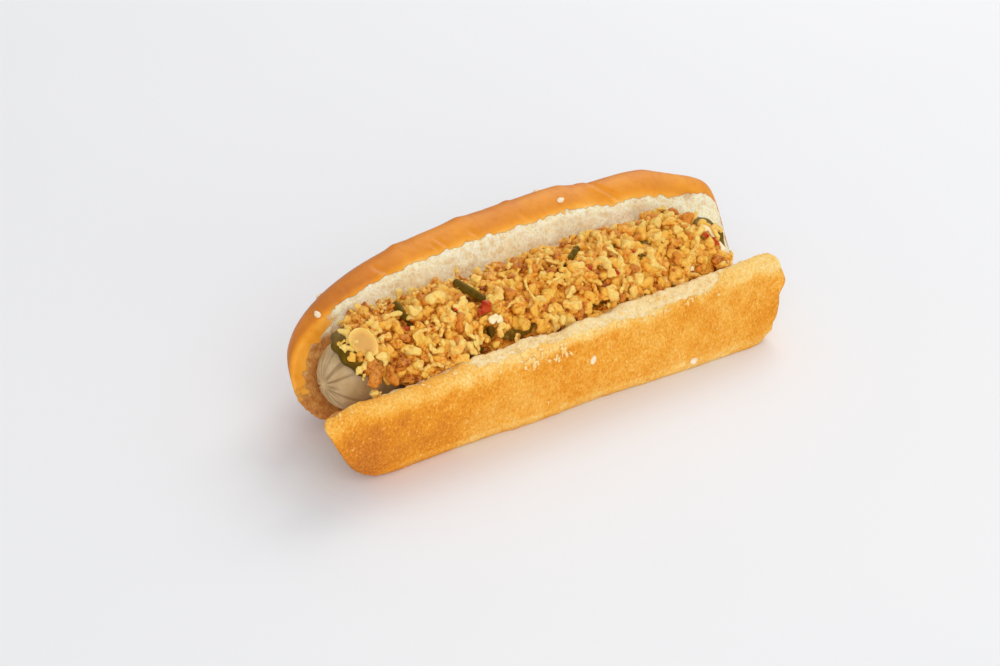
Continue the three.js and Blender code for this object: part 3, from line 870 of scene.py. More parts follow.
def slice_disc(radius, seed):
    """A flat slice lying at the origin, its grid points' share of the way out, and its faces."""
    steps = SLICE_WAVES * 14
    turn = np.arange(steps) / steps * 2 * math.pi
    face = np.linspace(0.06, 1, 15) ** 0.8
    round_edge = np.linspace(-math.pi / 2, math.pi / 2, 9)
    half = SLICE_THICKNESS / 2
    profile = [(share, -half, -1) for share in face]
    profile += [(1 + SLICE_RIM * math.cos(t) / radius, half * math.sin(t), 0) for t in round_edge[1:-1]]
    profile += [(share, half, 1) for share in face[::-1]]
    rings, shares = [], []
    for share, height, side in profile:
        waves = SLICE_WAVE_HEIGHT * np.cos(SLICE_WAVES * turn) * min(1, share**3)
        reach = (radius - SLICE_RIM + waves) * share
        ring = np.stack([reach * np.cos(turn), reach * np.sin(turn), np.full(steps, height)], 1)
        bumps = 0.16 * swell(ring, 2.1, seed) + 0.2 * swell(ring, 5.0, seed + 1)
        pulp = 0.28 * np.maximum(0, swell(ring, 1.5, seed + 2)) * fade(share, 0.62, 0.4)
        ring[:, 2] += side * (bumps - 0.25 * fade(share, 0.75, 0.35) + pulp) if side else 0
        rings.append(ring)
        shares += [share * (1 - SLICE_RIM / radius)] * steps
    points, faces = shell(rings)
    return points, faces, np.array([*shares, 0, 0])


def draped(points, along, around, bend):
    """A flat slice's points bent over the sausage."""
    lift = SAUSAGE_RADIUS + GAP + 0.1 + SLICE_THICKNESS / 2
    centre = math.radians(around)
    turn = points[:, 1] / bend
    side = (bend + points[:, 2]) * np.sin(turn)
    up = lift - bend + (bend + points[:, 2]) * np.cos(turn)
    y = SAUSAGE_Y + side * math.cos(centre) - up * math.sin(centre)
    z = SAUSAGE_Z + side * math.sin(centre) + up * math.cos(centre)
    return np.stack([along + points[:, 0], y, z], 1)


pickle_finish, base = finish_of("gherkin")
out = kept_number(base, "outward")
wet_mottle = grain(base, 260, 3)
fibre = grain(base, 800, 4, 0.6)
flesh = ramp(
    base, out + 0.16 * (wet_mottle - 0.5),
    (0.2, 158, 124, 40),
    (0.5, 128, 98, 22),
    (0.8, 124, 96, 24),
    (0.93, 112, 86, 12),
    (0.965, 100, 76, 6),
    (1.0, 88, 66, 2),
)
seedy = step(base, fibre, 0.5, 0.7) * (1 - step(base, out, 0.6, 0.85))
flesh = blend(base, seedy * 0.55, flesh, (202, 182, 98))
flesh = blend(base, step(base, fibre, 0.45, 0.3) * 0.5, flesh, (84, 74, 22))
pickle_relief = relief(base, fibre + 0.5 * wet_mottle, 0.0003, 0.5)
surface(
    base, flesh, 0.3 + 0.16 * wet_mottle, pickle_relief,
    Subsurface_Weight=0.2, Subsurface_Radius=(1.0, 0.9, 0.3), Subsurface_Scale=0.001,
    Specular_IOR_Level=0.1,
)


def add_pickle(name, points, faces, shares, node):
    piece = mesh_object(name, points, faces)
    note(piece, "outward", shares)
    piece.data.materials.append(pickle_finish)
    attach(piece, "root")
    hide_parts(node)


for i, (at, around, radius, bend) in enumerate(WRAPPED_SLICES, 1):
    disc, faces, shares = slice_disc(radius, 70 + 5 * i)
    placed = draped(disc, at, around, bend)
    add_pickle(f"draped_pickle_{i}", placed, faces, shares, f"pickle_wrapped_{i}")
for i, (middle, radius, axis) in enumerate(STANDING_SLICES, 1):
    disc, faces, shares = slice_disc(radius, 120 + 5 * i)
    placed = disc @ axes_to(Vector(axis).normalized()).T + middle
    add_pickle(f"tilted_pickle_{i}", placed, faces, shares, f"pickle_standing_{i}")


# Crisp fried onions: a loose heap of small knobbly bits, flakes, curls and a few long shreds.
# They are floured onion fried in oil, from pale straw through gold to brown, stuck together by sauce below.
# Each bit is a few balls melted into one lump, and several hundred of them are strewn over a rough bed.

HEAP_LEFT = -81
HEAP_RIGHT = 73.5
HEAP_LEFT_ANGLE = 115
HEAP_LEFT_SLANT = 12
HEAP_RIGHT_SLANT = 5
HEAP_NEAR_ANGLE = 176
HEAP_FAR_ANGLE = 14
HEAP_RADIUS = 17.6
HEAP_SIDE_GAIN = 2.6
BED_SINK = 1.9
BED_AROUND, BED_ALONG = 96, 260
WINDOW_DEPTH = 4.4
LIP_Y = -16.5
LUMP_SOFTENINGS = 7
BREAD_NEAR = 12
PRESS_ALLOWED = 0.4  # how far a bit may press into the bread, is left in it, and is left out for
PRESS_LEFT = 0.3
PRESS_REFUSED = 1.6
SAUSAGE_ROOM = 0.3
WINDOWS = [  # along, degrees, and half sizes of the places where the pickles show
    (-70, 166, 4.5, 6),
    (-57, 112, 2.2, 8),
    (-31, 103, 5.5, 5),
    (-32, 154, 3.6, 9),
    (-19, 165, 8.5, 8),
    (-37.5, 171, 5, 5),
    (7, 107, 2.6, 6),
    (29.5, 95, 2.2, 5),
    (13, 162, 5, 6),
]
KEPT_CLEAR = [(-30, 125, 3.0, 6), (-29, 141, 3.2, 6), (-77, 123, 4, 12)]  # two spots of sauce, onion scale
onion_random = np.random.default_rng(20)


def heap_left(degrees):
    aside = np.minimum(1, np.abs(degrees - HEAP_LEFT_ANGLE) / (HEAP_NEAR_ANGLE - HEAP_LEFT_ANGLE))
    return HEAP_LEFT + HEAP_LEFT_SLANT * aside**4


def heap_right(degrees):
    return HEAP_RIGHT - HEAP_RIGHT_SLANT * fade(degrees, 130, 90)


def heap_reach(x, degrees):
    side = np.abs(degrees - 90) / 90
    rolling = 0.7 * np.sin(x / 11) + 0.5 * np.sin(x / 5.3 + degrees / 30)
    return HEAP_RADIUS + HEAP_SIDE_GAIN * side**2 + rolling


def heap_place(x, degrees, reach):
    """A place round the sausage's axis: along it, degrees up from the far side, and how far out."""
    angle = np.radians(degrees)
    return np.stack([x, SAUSAGE_Y + reach * np.cos(angle), SAUSAGE_Z + reach * np.sin(angle)], -1)


def heap_outward(degrees):
    return heap_place(0, degrees, 1.0) - (0, SAUSAGE_Y, SAUSAGE_Z)


def in_window(x, degrees, windows):
    """How far inside an opening a place of the heap is, 1 in its middle and 0 outside."""
    open_share = np.zeros(np.broadcast(x, degrees).shape)
    for at, angle, half_along, half_angle in windows:
        away = ((x - at) / half_along) ** 2 + ((degrees - angle) / half_angle) ** 2
        open_share = np.maximum(open_share, np.clip(1.3 - away, 0, 1))
    return open_share


def packed_knobs(spots, size, seed):
    """Rounded knobs crowded together, from 0 in the creases to 1 on top."""
    bend = np.stack([swell(spots, 0.55 * size, seed + k) for k in (10, 11, 12)], 1)
    apart = cell_distance(spots + 0.22 * size * bend, size, seed)
    return np.clip(1 - (apart / 0.78) ** 2, 0, 1)


bed_angles = np.linspace(HEAP_FAR_ANGLE, HEAP_NEAR_ANGLE + 4, BED_AROUND)
bed_rings = []
bed_out = []
for share in np.linspace(0, 1, BED_ALONG):
    x = between(heap_left(bed_angles) + 1.5, heap_right(bed_angles) - 1, share)
    ends = fade(share, 0, 0.02) * fade(share, 1, 0.98)
    spots = heap_place(x, bed_angles, heap_reach(x, bed_angles))
    large = packed_knobs(spots, size=3.7, seed=101)
    small = packed_knobs(spots, size=1.9, seed=131)
    reach = heap_reach(x, bed_angles) - BED_SINK + 1.7 * large + 0.7 * small - 1.3
    reach = reach - WINDOW_DEPTH * in_window(x, bed_angles, WINDOWS)
    reach = between(SAUSAGE_RADIUS + 0.5, reach, ends)
    upper = heap_place(x, bed_angles, np.maximum(reach, SAUSAGE_RADIUS + 0.5))
    lower = heap_place(x[::-1], bed_angles[::-1], np.full(len(x), SAUSAGE_RADIUS + 0.2))
    bed_rings.append(np.vstack([upper, lower]))
    # How far each point stands out, which the finish paints as light on the knobs and shade between them.
    bed_out.append(np.concatenate([0.65 * large + 0.35 * small, np.zeros(len(x))]))
bed = mesh_object("onion_bed", *shell(bed_rings))


def melted_lump(balls, voxel=0.62, rough=0.42, rounds=1):
    """One crisp bit, from balls (centre, radius, flattening), and how far out each point stands, which the
    finish turns into painted light and shade.
    """
    shells = []
    for centre, size, flat_share in balls:
        grid, faces = ball(9, 14)
        shells.append((grid * 2 * size * np.array((1, 1, flat_share)) + centre, faces))
    piece = mesh_object("lump", *joined(shells))
    melted(piece, voxel, rounds)
    grid = points_of(piece)
    normals = normals_of(piece)
    mesh = piece.data
    pairs = np.zeros(len(mesh.edges) * 2, np.int32)
    mesh.edges.foreach_get("vertices", pairs)
    pairs = pairs.reshape(-1, 2)
    soft = grid.copy()
    for _ in range(LUMP_SOFTENINGS):
        total = np.zeros(grid.shape)
        count = np.zeros(len(grid))
        for a, b in ((0, 1), (1, 0)):
            np.add.at(total, pairs[:, a], soft[pairs[:, b]])
            np.add.at(count, pairs[:, a], 1)
        soft = total / np.maximum(count, 1)[:, None]
    knobs = swell(grid + 50, 1.35, 97)
    # This number becomes painted light on the knobs and painted shade in the pits.
    stands_out = ((grid - soft) * normals).sum(1) + 0.5 * rough * knobs
    grid = grid + normals * (rough * knobs + 0.45 * rough * swell(grid + 80, 0.8, 98))[:, None]
    faces = [tuple(p.vertices) for p in mesh.polygons]
    bpy.data.objects.remove(piece)
    bpy.data.meshes.remove(mesh)
    return grid - grid.mean(0), faces, np.clip(0.5 + stands_out / 0.5, 0, 1)


def bowed(length, bow, count, wave):
    """Points along a bent line, with a wave out of its plane."""
    share = np.linspace(-0.5, 0.5, count)
    turn = share * bow
    aside = np.sin(turn) / bow * length
    rise = (1 - np.cos(turn)) / bow * length
    return np.stack([aside, rise, wave * np.sin(5 * share)], 1)


def nugget(chance):
    """A short bent body set about with small knobs."""
    spine = bowed(chance.uniform(2.2, 5.2), chance.uniform(0.4, 2.4), 5, 0.6)
    spine = spine + chance.normal(0, 0.2, spine.shape)
    found = [(spot, chance.uniform(1.05, 1.65), chance.uniform(0.75, 1)) for spot in spine]
    for _ in range(chance.integers(6, 12)):
        spot, size = found[chance.integers(5)][:2]
        way = chance.normal(0, 1, 3)
        knob = chance.uniform(0.55, 1.0)
        found.append((spot + way / np.linalg.norm(way) * (0.85 * size + 0.35 * knob), knob, 1))
    return found


def curl(chance):
    length = chance.uniform(6, 10.5)
    spots = bowed(length, chance.uniform(0.5, 2.6), int(length), 0.7)
    spots = spots + chance.normal(0, 0.42, spots.shape)
    return [(spot, chance.uniform(0.9, 1.5), chance.uniform(0.7, 1)) for spot in spots]


def flake(chance):
    cup = chance.uniform(0.04, 0.12)
    found = []
    for turn, away in zip(chance.uniform(0, 2 * math.pi, 12), np.sqrt(chance.uniform(0, 1, 12))):
        spot = np.array((3.4 * away * math.cos(turn), 2.3 * away * math.sin(turn), 0))
        spot[2] = cup * (spot[0] ** 2 - 0.5 * spot[1] ** 2) + chance.normal(0, 0.12)
        found.append((spot, chance.uniform(1.1, 1.5), 0.48))
    return found


def shred(chance):
    length = chance.uniform(10, 15)
    spots = bowed(length, chance.uniform(0.4, 1.6), int(length / 0.8), 0.8)
    spots = spots + chance.normal(0, 0.12, spots.shape)
    return [(spot, chance.uniform(0.6, 0.9), chance.uniform(0.6, 0.9)) for spot in spots]


def crumb_bit(chance):
    spots = chance.normal(0, 0.6, (chance.integers(2, 5), 3))
    return [(spot, chance.uniform(0.5, 0.85), 0.9) for spot in spots]


LUMP_KINDS = {
    "nugget": [melted_lump(nugget(onion_random)) for _ in range(16)],
    "curl": [melted_lump(curl(onion_random)) for _ in range(12)],
    "flake": [melted_lump(flake(onion_random), 0.6, 0.3) for _ in range(8)],
    "shred": [melted_lump(shred(onion_random), 0.5, 0.22) for _ in range(5)],
    "bit": [melted_lump(crumb_bit(onion_random), 0.5, 0.34) for _ in range(8)],
}


def strewn(kind, x, degrees, lift, size, tilt, chance):
    """One lump of a kind laid on the heap, turned at random, and pushed clear of bun and sausage."""
    grid, faces, out = LUMP_KINDS[kind][chance.integers(len(LUMP_KINDS[kind]))]
    grid = grid * size * chance.uniform(0.8, 1.2, 3)
    turn = chance.uniform(0, 360)
    lean = Vector(heap_outward(degrees) + chance.normal(0, tilt, 3)).normalized()
    grid = set_down(grid, turn, lean, heap_place(x, degrees, heap_reach(x, degrees) + lift))
    for _ in range(2):
        worst, way = 0, None
        for corner in grid[:: max(1, len(grid) // 14)]:
            place, normal, distance = on_the_bun(corner)
            signed = (corner - place) @ normal
            if distance < BREAD_NEAR and signed < worst:
                worst, way = signed, normal
        if worst < -PRESS_ALLOWED:
            grid = grid + way * (-worst - PRESS_LEFT)
    if worst < -PRESS_REFUSED:
        return None
    grid = grid + (0, max(0, LIP_Y - grid[:, 1].min()), 0)
    gap, away = sausage_distance(grid)
    low = gap.min()
    if low < SAUSAGE_ROOM:
        grid = grid + away[gap.argmin()] * (SAUSAGE_ROOM - low)
    return grid, faces, out


LAYERS = [  # kind, how many, lowest and highest lift, sizes, tilt, piece
    ("nugget", 150, (-3.0, -1.5), (0.95, 1.25), 0.4, "golden"),
    ("curl", 60, (-2.6, -1.3), (0.95, 1.2), 0.35, "golden"),
    ("nugget", 100, (-2.0, -0.8), (0.85, 1.15), 0.5, "amber"),
    ("flake", 44, (-2.0, -0.8), (0.9, 1.2), 0.45, "amber"),
    ("curl", 40, (-1.6, -0.4), (0.8, 1.1), 0.5, "amber"),
    ("nugget", 56, (-1.7, -0.5), (0.75, 1.05), 0.5, "brown"),
    ("curl", 16, (-1.4, -0.4), (0.75, 1.0), 0.5, "brown"),
    ("nugget", 60, (-1.2, -0.2), (0.7, 1.05), 0.6, "straw"),
    ("curl", 36, (-1.0, 0.0), (0.7, 1.0), 0.5, "straw"),
    ("flake", 24, (-0.6, 0.3), (0.65, 0.95), 0.7, "straw"),
    ("bit", 70, (-0.9, 0.3), (0.8, 1.4), 0.8, "bits"),
]
CHOSEN = [  # kind, along, degrees, lift, size, piece: the bits that stand out on the real heap
    ("nugget", -79, 113, 0.1, 1.0, "straw"),
    ("bit", -78, 93, 0.2, 1.3, "bits"),
    ("nugget", -73, 102, -0.2, 0.7, "golden"),
    ("nugget", -78, 139, -0.3, 1.0, "straw"),
    ("nugget", -75, 129, -1.4, 1.0, "straw"),
    ("nugget", -78, 152, 0.1, 1.35, "brown"),
    ("flake", -68, 100, 0.1, 0.8, "straw"),
    ("nugget", -79, 173, -0.5, 0.9, "straw"),
    ("curl", -74, 137, 0.1, 0.9, "straw"),
    ("nugget", -57, 67, 0.1, 0.6, "brown"),
    ("curl", -60, 84, 0.1, 0.8, "brown"),
    ("nugget", -69, 122, 0.1, 0.8, "straw"),
    ("nugget", -72, 160, 0.1, 1.1, "brown"),
    ("nugget", -63, 114, -0.2, 1.0, "golden"),
    ("nugget", -66, 131, -0.2, 0.8, "golden"),
    ("nugget", -67, 152, 0.1, 1.0, "brown"),
    ("nugget", -54, 104, 0.1, 1.0, "straw"),
    ("nugget", -62, 158, 0.1, 0.9, "straw"),
    ("nugget", -44, 77, -0.2, 0.9, "golden"),
    ("curl", -55, 130, 0.1, 0.8, "straw"),
    ("nugget", -57, 173, -0.8, 0.8, "golden"),
    ("curl", -54, 149, 0.1, 0.9, "straw"),
    ("nugget", -44, 98, 0.1, 1.2, "straw"),
    ("nugget", -55, 160, -0.2, 1.1, "golden"),
    ("nugget", -46, 125, 0.1, 1.1, "straw"),
    ("nugget", -50, 176, -0.8, 0.9, "golden"),
    ("nugget", -47, 154, 0.1, 1.2, "straw"),
    ("flake", -38, 118, 0.1, 1.1, "straw"),
    ("nugget", -42, 160, 0.1, 1.0, "straw"),
    ("flake", -24, 84, -0.2, 0.9, "golden"),
    ("flake", -38, 157, 0.1, 0.8, "straw"),
    ("nugget", -20, 91, -0.2, 0.9, "golden"),
    ("nugget", -24, 116, 0.1, 1.2, "straw"),
    ("curl", -28, 152, 0.1, 0.9, "straw"),
    ("nugget", -19, 120, 0.1, 1.0, "brown"),
    ("curl", -6, 83, 0.1, 0.8, "brown"),
    ("nugget", -19, 153, -0.2, 1.1, "golden"),
    ("shred", -12, 127, 0.6, 1.0, "shreds"),
    ("nugget", -4, 100, 0.1, 0.8, "brown"),
    ("curl", -13, 157, -0.2, 1.1, "golden"),
    ("curl", -3, 122, -0.2, 1.0, "golden"),
    ("flake", -3, 122, -0.2, 1.0, "golden"),
    ("flake", 4, 96, 0.1, 0.9, "straw"),
    ("flake", 4, 100, 0.1, 1.0, "straw"),
    ("nugget", -5, 165, 0.1, 0.9, "straw"),
    ("flake", 2, 123, 0.1, 0.9, "straw"),
    ("curl", 2, 142, 0.1, 1.0, "straw"),
    ("nugget", -1, 176, -0.8, 0.8, "golden"),
    ("curl", 12, 99, -0.2, 0.8, "golden"),
    ("curl", 2, 158, 0.1, 1.1, "straw"),
    ("nugget", 10, 116, 0.1, 1.1, "straw"),
    ("curl", 9, 134, -0.2, 1.0, "golden"),
    ("nugget", 9, 173, -0.8, 0.9, "golden"),
    ("curl", 22, 105, 0.1, 1.1, "straw"),
    ("nugget", 19, 124, 0.1, 1.2, "straw"),
    ("nugget", 17, 155, 0.1, 1.1, "straw"),
    ("nugget", 17, 173, -0.8, 0.9, "golden"),
    ("nugget", 25, 133, 0.1, 1.0, "straw"),
    ("nugget", 33, 110, 0.1, 1.0, "straw"),
    ("nugget", 26, 165, 0.1, 1.1, "straw"),
    ("nugget", 29, 151, 0.1, 1.2, "straw"),
    ("nugget", 37, 116, -0.2, 0.9, "golden"),
    ("nugget", 43, 98, -0.2, 1.0, "golden"),
    ("nugget", 39, 135, 0.1, 1.3, "straw"),
    ("curl", 37, 167, -0.2, 1.0, "golden"),
    ("curl", 46, 120, -0.2, 1.0, "golden"),
    ("curl", 54, 97, -0.2, 1.0, "golden"),
    ("nugget", 41, 174, -0.5, 1.0, "straw"),
    ("nugget", 45, 159, -0.2, 1.2, "golden"),
    ("nugget", 48, 144, 0.1, 1.0, "brown"),
    ("nugget", 55, 114, 0.1, 1.0, "straw"),
    ("nugget", 62, 103, 0.1, 1.0, "brown"),
    ("curl", 52, 156, 0.1, 1.0, "straw"),
    ("curl", 56, 142, 0.1, 1.0, "straw"),
    ("nugget", 62, 124, 0.1, 1.0, "straw"),
    ("nugget", 64, 145, -0.2, 0.9, "golden"),
    ("nugget", 65, 160, 0.1, 0.8, "brown"),
    ("nugget", 70, 163, 0.1, 0.6, "straw"),
    ("nugget", -79, 130, -2.0, 0.8, "golden"),
    ("nugget", -82, 117, -0.8, 0.75, "straw"),
    ("nugget", -82.5, 129, -0.9, 0.7, "golden"),
    ("nugget", -81, 143, -0.5, 0.85, "straw"),
    ("bit", -82.5, 108, -0.5, 1.3, "bits"),
    ("bit", -81.5, 152, -0.8, 1.3, "bits"),
    ("nugget", -79, 101, -0.3, 0.8, "straw"),
    ("shred", 0, 122, 0.7, 1.0, "shreds"),
    ("shred", 23, 151, 0.6, 1.0, "shreds"),
    ("nugget", -8, 90, 0.0, 0.8, "brown"),
]
CHOSEN_TILT = 0.3
GOLDEN_SHARE = 0.61803
strewn_lumps = {}
strewn_notes = {}


def lay(kind, x, degrees, lift, size, tilt, piece_name):
    laid = strewn(kind, x, degrees, lift, size, tilt, onion_random)
    if laid:
        grid, faces, out = laid
        patch = swell(grid.mean(0)[None], 13, 99)[0]
        tint = np.clip(0.5 + 0.4 * patch + onion_random.uniform(-0.42, 0.42), 0, 1)
        strewn_lumps.setdefault(piece_name, []).append((grid, faces))
        strewn_notes.setdefault(piece_name, []).append((np.full(len(grid), tint), out))


for kind, x, degrees, lift, size, piece_name in CHOSEN:
    lay(kind, x, degrees, lift, size, CHOSEN_TILT, piece_name)
for kind, count, lifts, sizes, tilt, piece_name in LAYERS:
    for i in range(count):
        share = (i + onion_random.uniform(0, 1)) / count
        across = (i * GOLDEN_SHARE + onion_random.uniform(0, 0.1)) % 1
        degrees = between(HEAP_FAR_ANGLE + 4, HEAP_NEAR_ANGLE - 1, across)
        x = between(heap_left(degrees) + 1.8, heap_right(degrees) - 3.4, share)
        inside = in_window(x, degrees, WINDOWS + KEPT_CLEAR)
        if inside > 0.25 or onion_random.uniform() < 2 * inside:
            continue
        lay(kind, x, degrees, onion_random.uniform(*lifts), onion_random.uniform(*sizes), tilt, piece_name)


def crisp_batter(name, dark, middle, light, rim):
    """Fried flour batter, with painted shade in its pits and painted light on its knobs, each bit with its
    own tint.
    """
    material, base = finish_of(name)
    tint = kept_number(base, "tint")
    out = kept_number(base, "stands_out")
    knobs = step(base, grain(base, 820, 4, 0.6), 0.34, 0.66)
    fine = step(base, grain(base, 2300, 3, 0.6), 0.32, 0.68)
    # Painted light and shade: lighter where a bit stands out and on its bump knobs, darker in its pits.
    tone = 0.4 * tint + 0.68 * out + 0.42 * (knobs - 0.5) + 0.3 * (fine - 0.5)
    colour = ramp(base, tone, (0.22, *dark), (0.5, *middle), (0.86, *light))
    scorched = step(base, grain(base, 240, 2), 0.58, 0.74) * 0.5
    colour = blend(base, scorched, colour, rim)
    normal = relief(base, knobs + 0.5 * fine, 0.00022, 0.7)
    surface(
        base, colour, 0.36 + 0.14 * fine, normal,
        Subsurface_Weight=0.15, Subsurface_Radius=(1.0, 0.5, 0.1), Subsurface_Scale=0.0015,
        Specular_IOR_Level=0.4,
    )
    return material


# The colours in the pits and on the knobs are painted shade and painted light.
BATTERS = {  # in the pits, between, on the knobs, and where it caught
    "golden": ((150, 64, 0), (226, 130, 10), (252, 190, 70), (208, 98, 6)),
    "amber": ((168, 78, 2), (238, 148, 20), (254, 202, 86), (222, 112, 8)),
    "straw": ((182, 94, 6), (246, 168, 40), (255, 216, 116), (236, 136, 20)),
    "brown": ((92, 34, 2), (168, 80, 8), (226, 142, 38), (122, 48, 4)),
    "shreds": ((200, 116, 8), (250, 180, 50), (255, 220, 116), (242, 146, 28)),
    "bits": ((178, 92, 6), (242, 160, 36), (255, 208, 96), (226, 120, 16)),
}
for piece_name, laid in strewn_lumps.items():
    piece = mesh_object(f"onions_{piece_name}", *joined(laid))
    note(piece, "tint", np.concatenate([tint for tint, _ in strewn_notes[piece_name]]))
    note(piece, "stands_out", np.concatenate([out for _, out in strewn_notes[piece_name]]))
    piece.data.materials.append(crisp_batter(f"{piece_name}_batter", *BATTERS[piece_name]))
    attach(piece, "root")
bed_finish = crisp_batter("bed_batter", (130, 56, 0), (220, 126, 10), (252, 190, 66), (192, 88, 4))
note(bed, "tint", 0.45 + 0.4 * swell(points_of(bed), 13, 99))
note(bed, "stands_out", [*np.concatenate(bed_out), 0, 0])
bed.data.materials.append(bed_finish)
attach(bed, "root")
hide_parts("fried_onions")


# The sauces: thin spots of red ketchup and white garlic sauce that show between the onions.
# They were squeezed on under the onions, so they lie low and smooth in the gaps.

RED_SPOTS = [  # along, degrees, lift, size
    (-29.6, 125, 0.5, 1.6), (-32, 129, 0.2, 0.9), (-53, 130, 0.2, 0.7), (13.5, 124, 0.3, 0.6),
    (5.5, 123, 0.3, 0.6), (64.4, 131, 0.3, 0.7), (65.8, 137, 0.4, 0.8), (66.8, 143, 0.4, 0.7),
    (-41, 118, 0.1, 0.6), (22, 138, 0.3, 0.7), (33, 121, 0.2, 0.6), (-24, 121, 0.3, 0.6),
    (-60, 120, 0.1, 0.6), (-12, 130, 0.2, 0.6),
]
WHITE_SPOTS = [
    (-29.6, 140.5, 0.7, 1.45), (-27.2, 143.5, 0.2, 0.9), (66, 121, -0.3, 1.2), (67.6, 128, -0.3, 1.1),
    (69, 150, -0.8, 1.1), (53, 160, -0.5, 0.8),
]
DROP_BALLS = 9
DROP_SPREAD = (1.3, 0.8, 0.08)


def sauce_drops(name, spots, seed):
    chance = np.random.default_rng(seed)
    laid = []
    for x, degrees, lift, size in spots:
        spread = chance.normal(0, 0.5, (DROP_BALLS, 3)) * DROP_SPREAD
        balls = [(spot, chance.uniform(0.75, 1.1), 0.5) for spot in spread]
        grid, faces, _ = melted_lump(balls, voxel=0.35, rough=0.03, rounds=8)
        place = heap_place(x, degrees, heap_reach(x, degrees) + lift)
        laid.append((set_down(grid * size, chance.uniform(0, 360), heap_outward(degrees), place), faces))
    piece = mesh_object(name, *joined(laid))
    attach(piece, "root")
    return piece


def wet_sauce(name, deep, light, roughness):
    material, base = finish_of(name)
    tone = grain(base, 380, 3)
    colour = ramp(base, tone, (0.35, *deep), (0.65, *light))
    normal = relief(base, tone, 0.0003, 0.4)
    surface(base, colour, roughness, normal, Specular_IOR_Level=0.2)
    return material


red_sauce = sauce_drops("red_sauce", RED_SPOTS, 31)
red_sauce.data.materials.append(wet_sauce("tomato_sauce", (160, 34, 2), (214, 80, 12), 0.3))
white_sauce = sauce_drops("white_sauce", WHITE_SPOTS, 32)
white_sauce.data.materials.append(wet_sauce("garlic_sauce", (240, 214, 152), (255, 240, 198), 0.26))


# Loose crumbs: torn pale flakes of crust and crumb along the flap's cut edge, and a few down its face.
# They broke off when the roll was cut and opened, and they cling where they fell.

crumb_random = np.random.default_rng(41)
CRUMB_PATCHES = [  # how many, along from and to, inward over the lip from and to (below 0 is down), sizes
    (34, (-28, -8), (-1.5, 2.5), (0.6, 1.2)),
    (14, (-34, -18), (1.5, 5), (0.5, 1.0)),
    (46, (-42, 62), (1.5, 7), (0.35, 0.9)),
    (26, (22, 60), (0.0, 3.0), (0.5, 1.1)),
    (14, (-100, -44), (4, 7), (0.35, 0.7)),
]
CRUMB_SPECKS = [  # along, height on the flap's face
    (-16.6, 7.5), (18.8, 2.4), (-33, 6.8), (9.3, 19.6), (-50, 12), (30, 9), (56, 12),
]
crumb_shells = []


def add_crumb(place, size):
    grid, faces, _ = LUMP_KINDS["bit"][crumb_random.integers(len(LUMP_KINDS["bit"]))]
    place, normal, _ = on_the_bun(place)
    grid = grid * (size, size * crumb_random.uniform(0.6, 1), 0.45 * size)
    grid = set_down(grid, crumb_random.uniform(0, 360), normal, place + STANDS_OFF * normal)
    crumb_shells.append((grid, faces))


for count, alongs, downs, sizes in CRUMB_PATCHES:
    for _ in range(count):
        x = crumb_random.uniform(*alongs)
        inward = crumb_random.uniform(*downs)
        lip_y = FLAP_FACE_Y + max(0, inward) * 0.55
        lip_z = LIP_HEIGHT + FLAP_RISE * (x - FLAP_RISE_FROM) + inward * (0.75 if inward > 0 else 1.4)
        add_crumb((x, lip_y, lip_z), crumb_random.uniform(*sizes))
for x, z in CRUMB_SPECKS:
    add_crumb(flap_face(x, z), crumb_random.uniform(0.35, 0.6))
crumbs = mesh_object("loose_crumbs", *joined(crumb_shells))

crumbs_finish, base = finish_of("torn_crumbs")
crumbs_tone = grain(base, 420, 3)
crumbs_fine = grain(base, 1600, 3)
crumbs_colour = ramp(
    base, crumbs_tone,
    (0.35, 246, 194, 102),
    (0.5, 252, 214, 134),
    (0.66, 255, 232, 178),
)
surface(base, crumbs_colour, 0.8, relief(base, crumbs_fine, 0.0004, 0.7), Specular_IOR_Level=0.3)
crumbs.data.materials.append(crumbs_finish)
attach(crumbs, "root")


# One large thin onion scale: smooth, pale and see-through, lying on the heap at its left end.
# It is a whole piece of onion that went into the fat without flour, so it is clear and not knobbly.

SCALE_SIZE = (7.6, 10.6, 1.3)
SCALE_PLACE = (-77.2, 121)
SCALE_FACES = (-0.5, -0.74, 0.46)
SCALE_TURN = 12
SCALE_LIFT = 1.2
scale_points, scale_faces = ball(20, 40)
scale_rim = np.linalg.norm(scale_points[:, :2] * 2, axis=1)
scale_points[:, 2] += 0.5 * (scale_points[:, 0] ** 2 + scale_points[:, 1] ** 2)
scale_points[:, 0] *= 1 + 0.25 * scale_points[:, 1]
scale_points = scale_points * SCALE_SIZE
scale_points = scale_points + 0.12 * swell(scale_points + 30, 1.8, 51)[:, None] * np.array((0, 0, 1))
scale_middle = heap_place(*SCALE_PLACE, heap_reach(*SCALE_PLACE) + SCALE_LIFT)
scale_points = set_down(scale_points, SCALE_TURN, Vector(SCALE_FACES).normalized(), scale_middle)
onion_scale = mesh_object("onion_scale", scale_points, scale_faces)
note(onion_scale, "rim", scale_rim)

scale_finish, base = finish_of("clear_onion")
veins = grain(base, 420, 3, stretch=(1, 1, 0.3))
scale_colour = ramp(
    base, kept_number(base, "rim") + 0.3 * (veins - 0.5),
    (0.55, 214, 158, 52),
    (0.85, 232, 182, 76),
    (1.0, 254, 216, 122),
)
surface(
    base, scale_colour, 0.3 + 0.15 * veins, relief(base, veins, 0.0003, 0.5),
    Subsurface_Weight=0.35, Subsurface_Radius=(1.0, 0.7, 0.25), Subsurface_Scale=0.002,
)
onion_scale.data.materials.append(scale_finish)
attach(onion_scale, "root")


# The camera stands where the photograph's did, above the near side with a long lens.
# Under the hot dog is a plain pale table. One soft lamp stands to the right and a little behind, a larger
# one fills from the front, and the rest is light from the pale room.

CAMERA_PLACE = np.array((-455.1, -550.6, 403.9))
CAMERA_AROUND = math.radians(-38.24)
CAMERA_ABOVE = math.radians(28.34)
CAMERA_ROLL = math.radians(0.95)
LENS = 87.61
SENSOR = 36

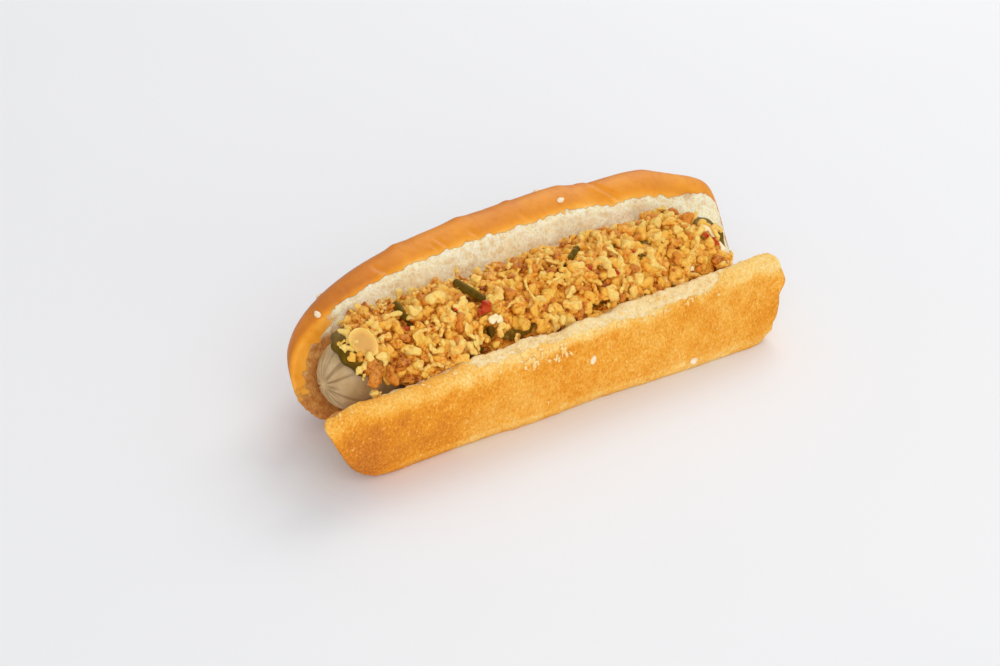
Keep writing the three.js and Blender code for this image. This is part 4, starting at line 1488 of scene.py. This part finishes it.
camera_data = bpy.data.cameras.new("camera")
camera_data.lens = LENS
camera_data.sensor_width = SENSOR
camera_data.sensor_fit = "HORIZONTAL"
camera_data.clip_start = 0.05
camera_data.clip_end = 20
camera = bpy.data.objects.new("camera", camera_data)
aimed = Matrix.Rotation(CAMERA_AROUND, 4, "Z") @ Matrix.Rotation(math.pi / 2 - CAMERA_ABOVE, 4, "X")
aimed = aimed @ Matrix.Rotation(CAMERA_ROLL, 4, "Z")
camera.matrix_world = Matrix.Translation(Vector((CAMERA_PLACE + SHIFT) * MM)) @ aimed
bpy.context.scene.collection.objects.link(camera)
bpy.context.scene.camera = camera

TABLE_HALF = 6
table_mesh = bpy.data.meshes.new("table")
table_corners = [(TABLE_HALF * x, TABLE_HALF * y, 0) for x, y in ((-1, -1), (1, -1), (1, 1), (-1, 1))]
table_mesh.from_pydata(table_corners, [], [(0, 1, 2, 3)])
table = bpy.data.objects.new("table", table_mesh)
bpy.context.scene.collection.objects.link(table)
table_finish, base = finish_of("pale_table")
mottle = grain(base, 3, 2)
table_colour = ramp(base, mottle, (0.2, 238, 238, 240), (0.8, 242, 242, 243))
surface(base, table_colour, 0.6, relief(base, mottle, 0.0001, 0.1), Specular_IOR_Level=0.2)
table_mesh.materials.append(table_finish)

LAMPS_AIM_AT = Vector((0, 0, 0.02))
SOFT_LAMPS = [  # name, place and size in metres, power, colour
    ("right_softbox", (1.05, 0.55, 1.15), 1.0, 10.0, (1.0, 0.99, 0.97)),
    ("front_fill", (-0.75, -1.45, 0.8), 1.6, 17.0, (1.0, 1.0, 1.0)),
]
for name, place, size, power, tint in SOFT_LAMPS:
    lamp = bpy.data.lights.new(name, "AREA")
    lamp.shape = "SQUARE"
    lamp.size = size
    lamp.energy = power
    lamp.color = tint
    stand = bpy.data.objects.new(name, lamp)
    stand.location = place
    stand.rotation_euler = (LAMPS_AIM_AT - Vector(place)).to_track_quat("-Z", "Y").to_euler()
    bpy.context.scene.collection.objects.link(stand)

ROOM_COLOUR = (0.955, 0.965, 0.98, 1)
ROOM_STRENGTH = 0.6
world = bpy.data.worlds.new("pale_room")
world.use_nodes = True
room = world.node_tree.nodes["Background"]
room.inputs["Color"].default_value = ROOM_COLOUR
room.inputs["Strength"].default_value = ROOM_STRENGTH
bpy.context.scene.world = world
bpy.context.scene.view_settings.view_transform = "Standard"
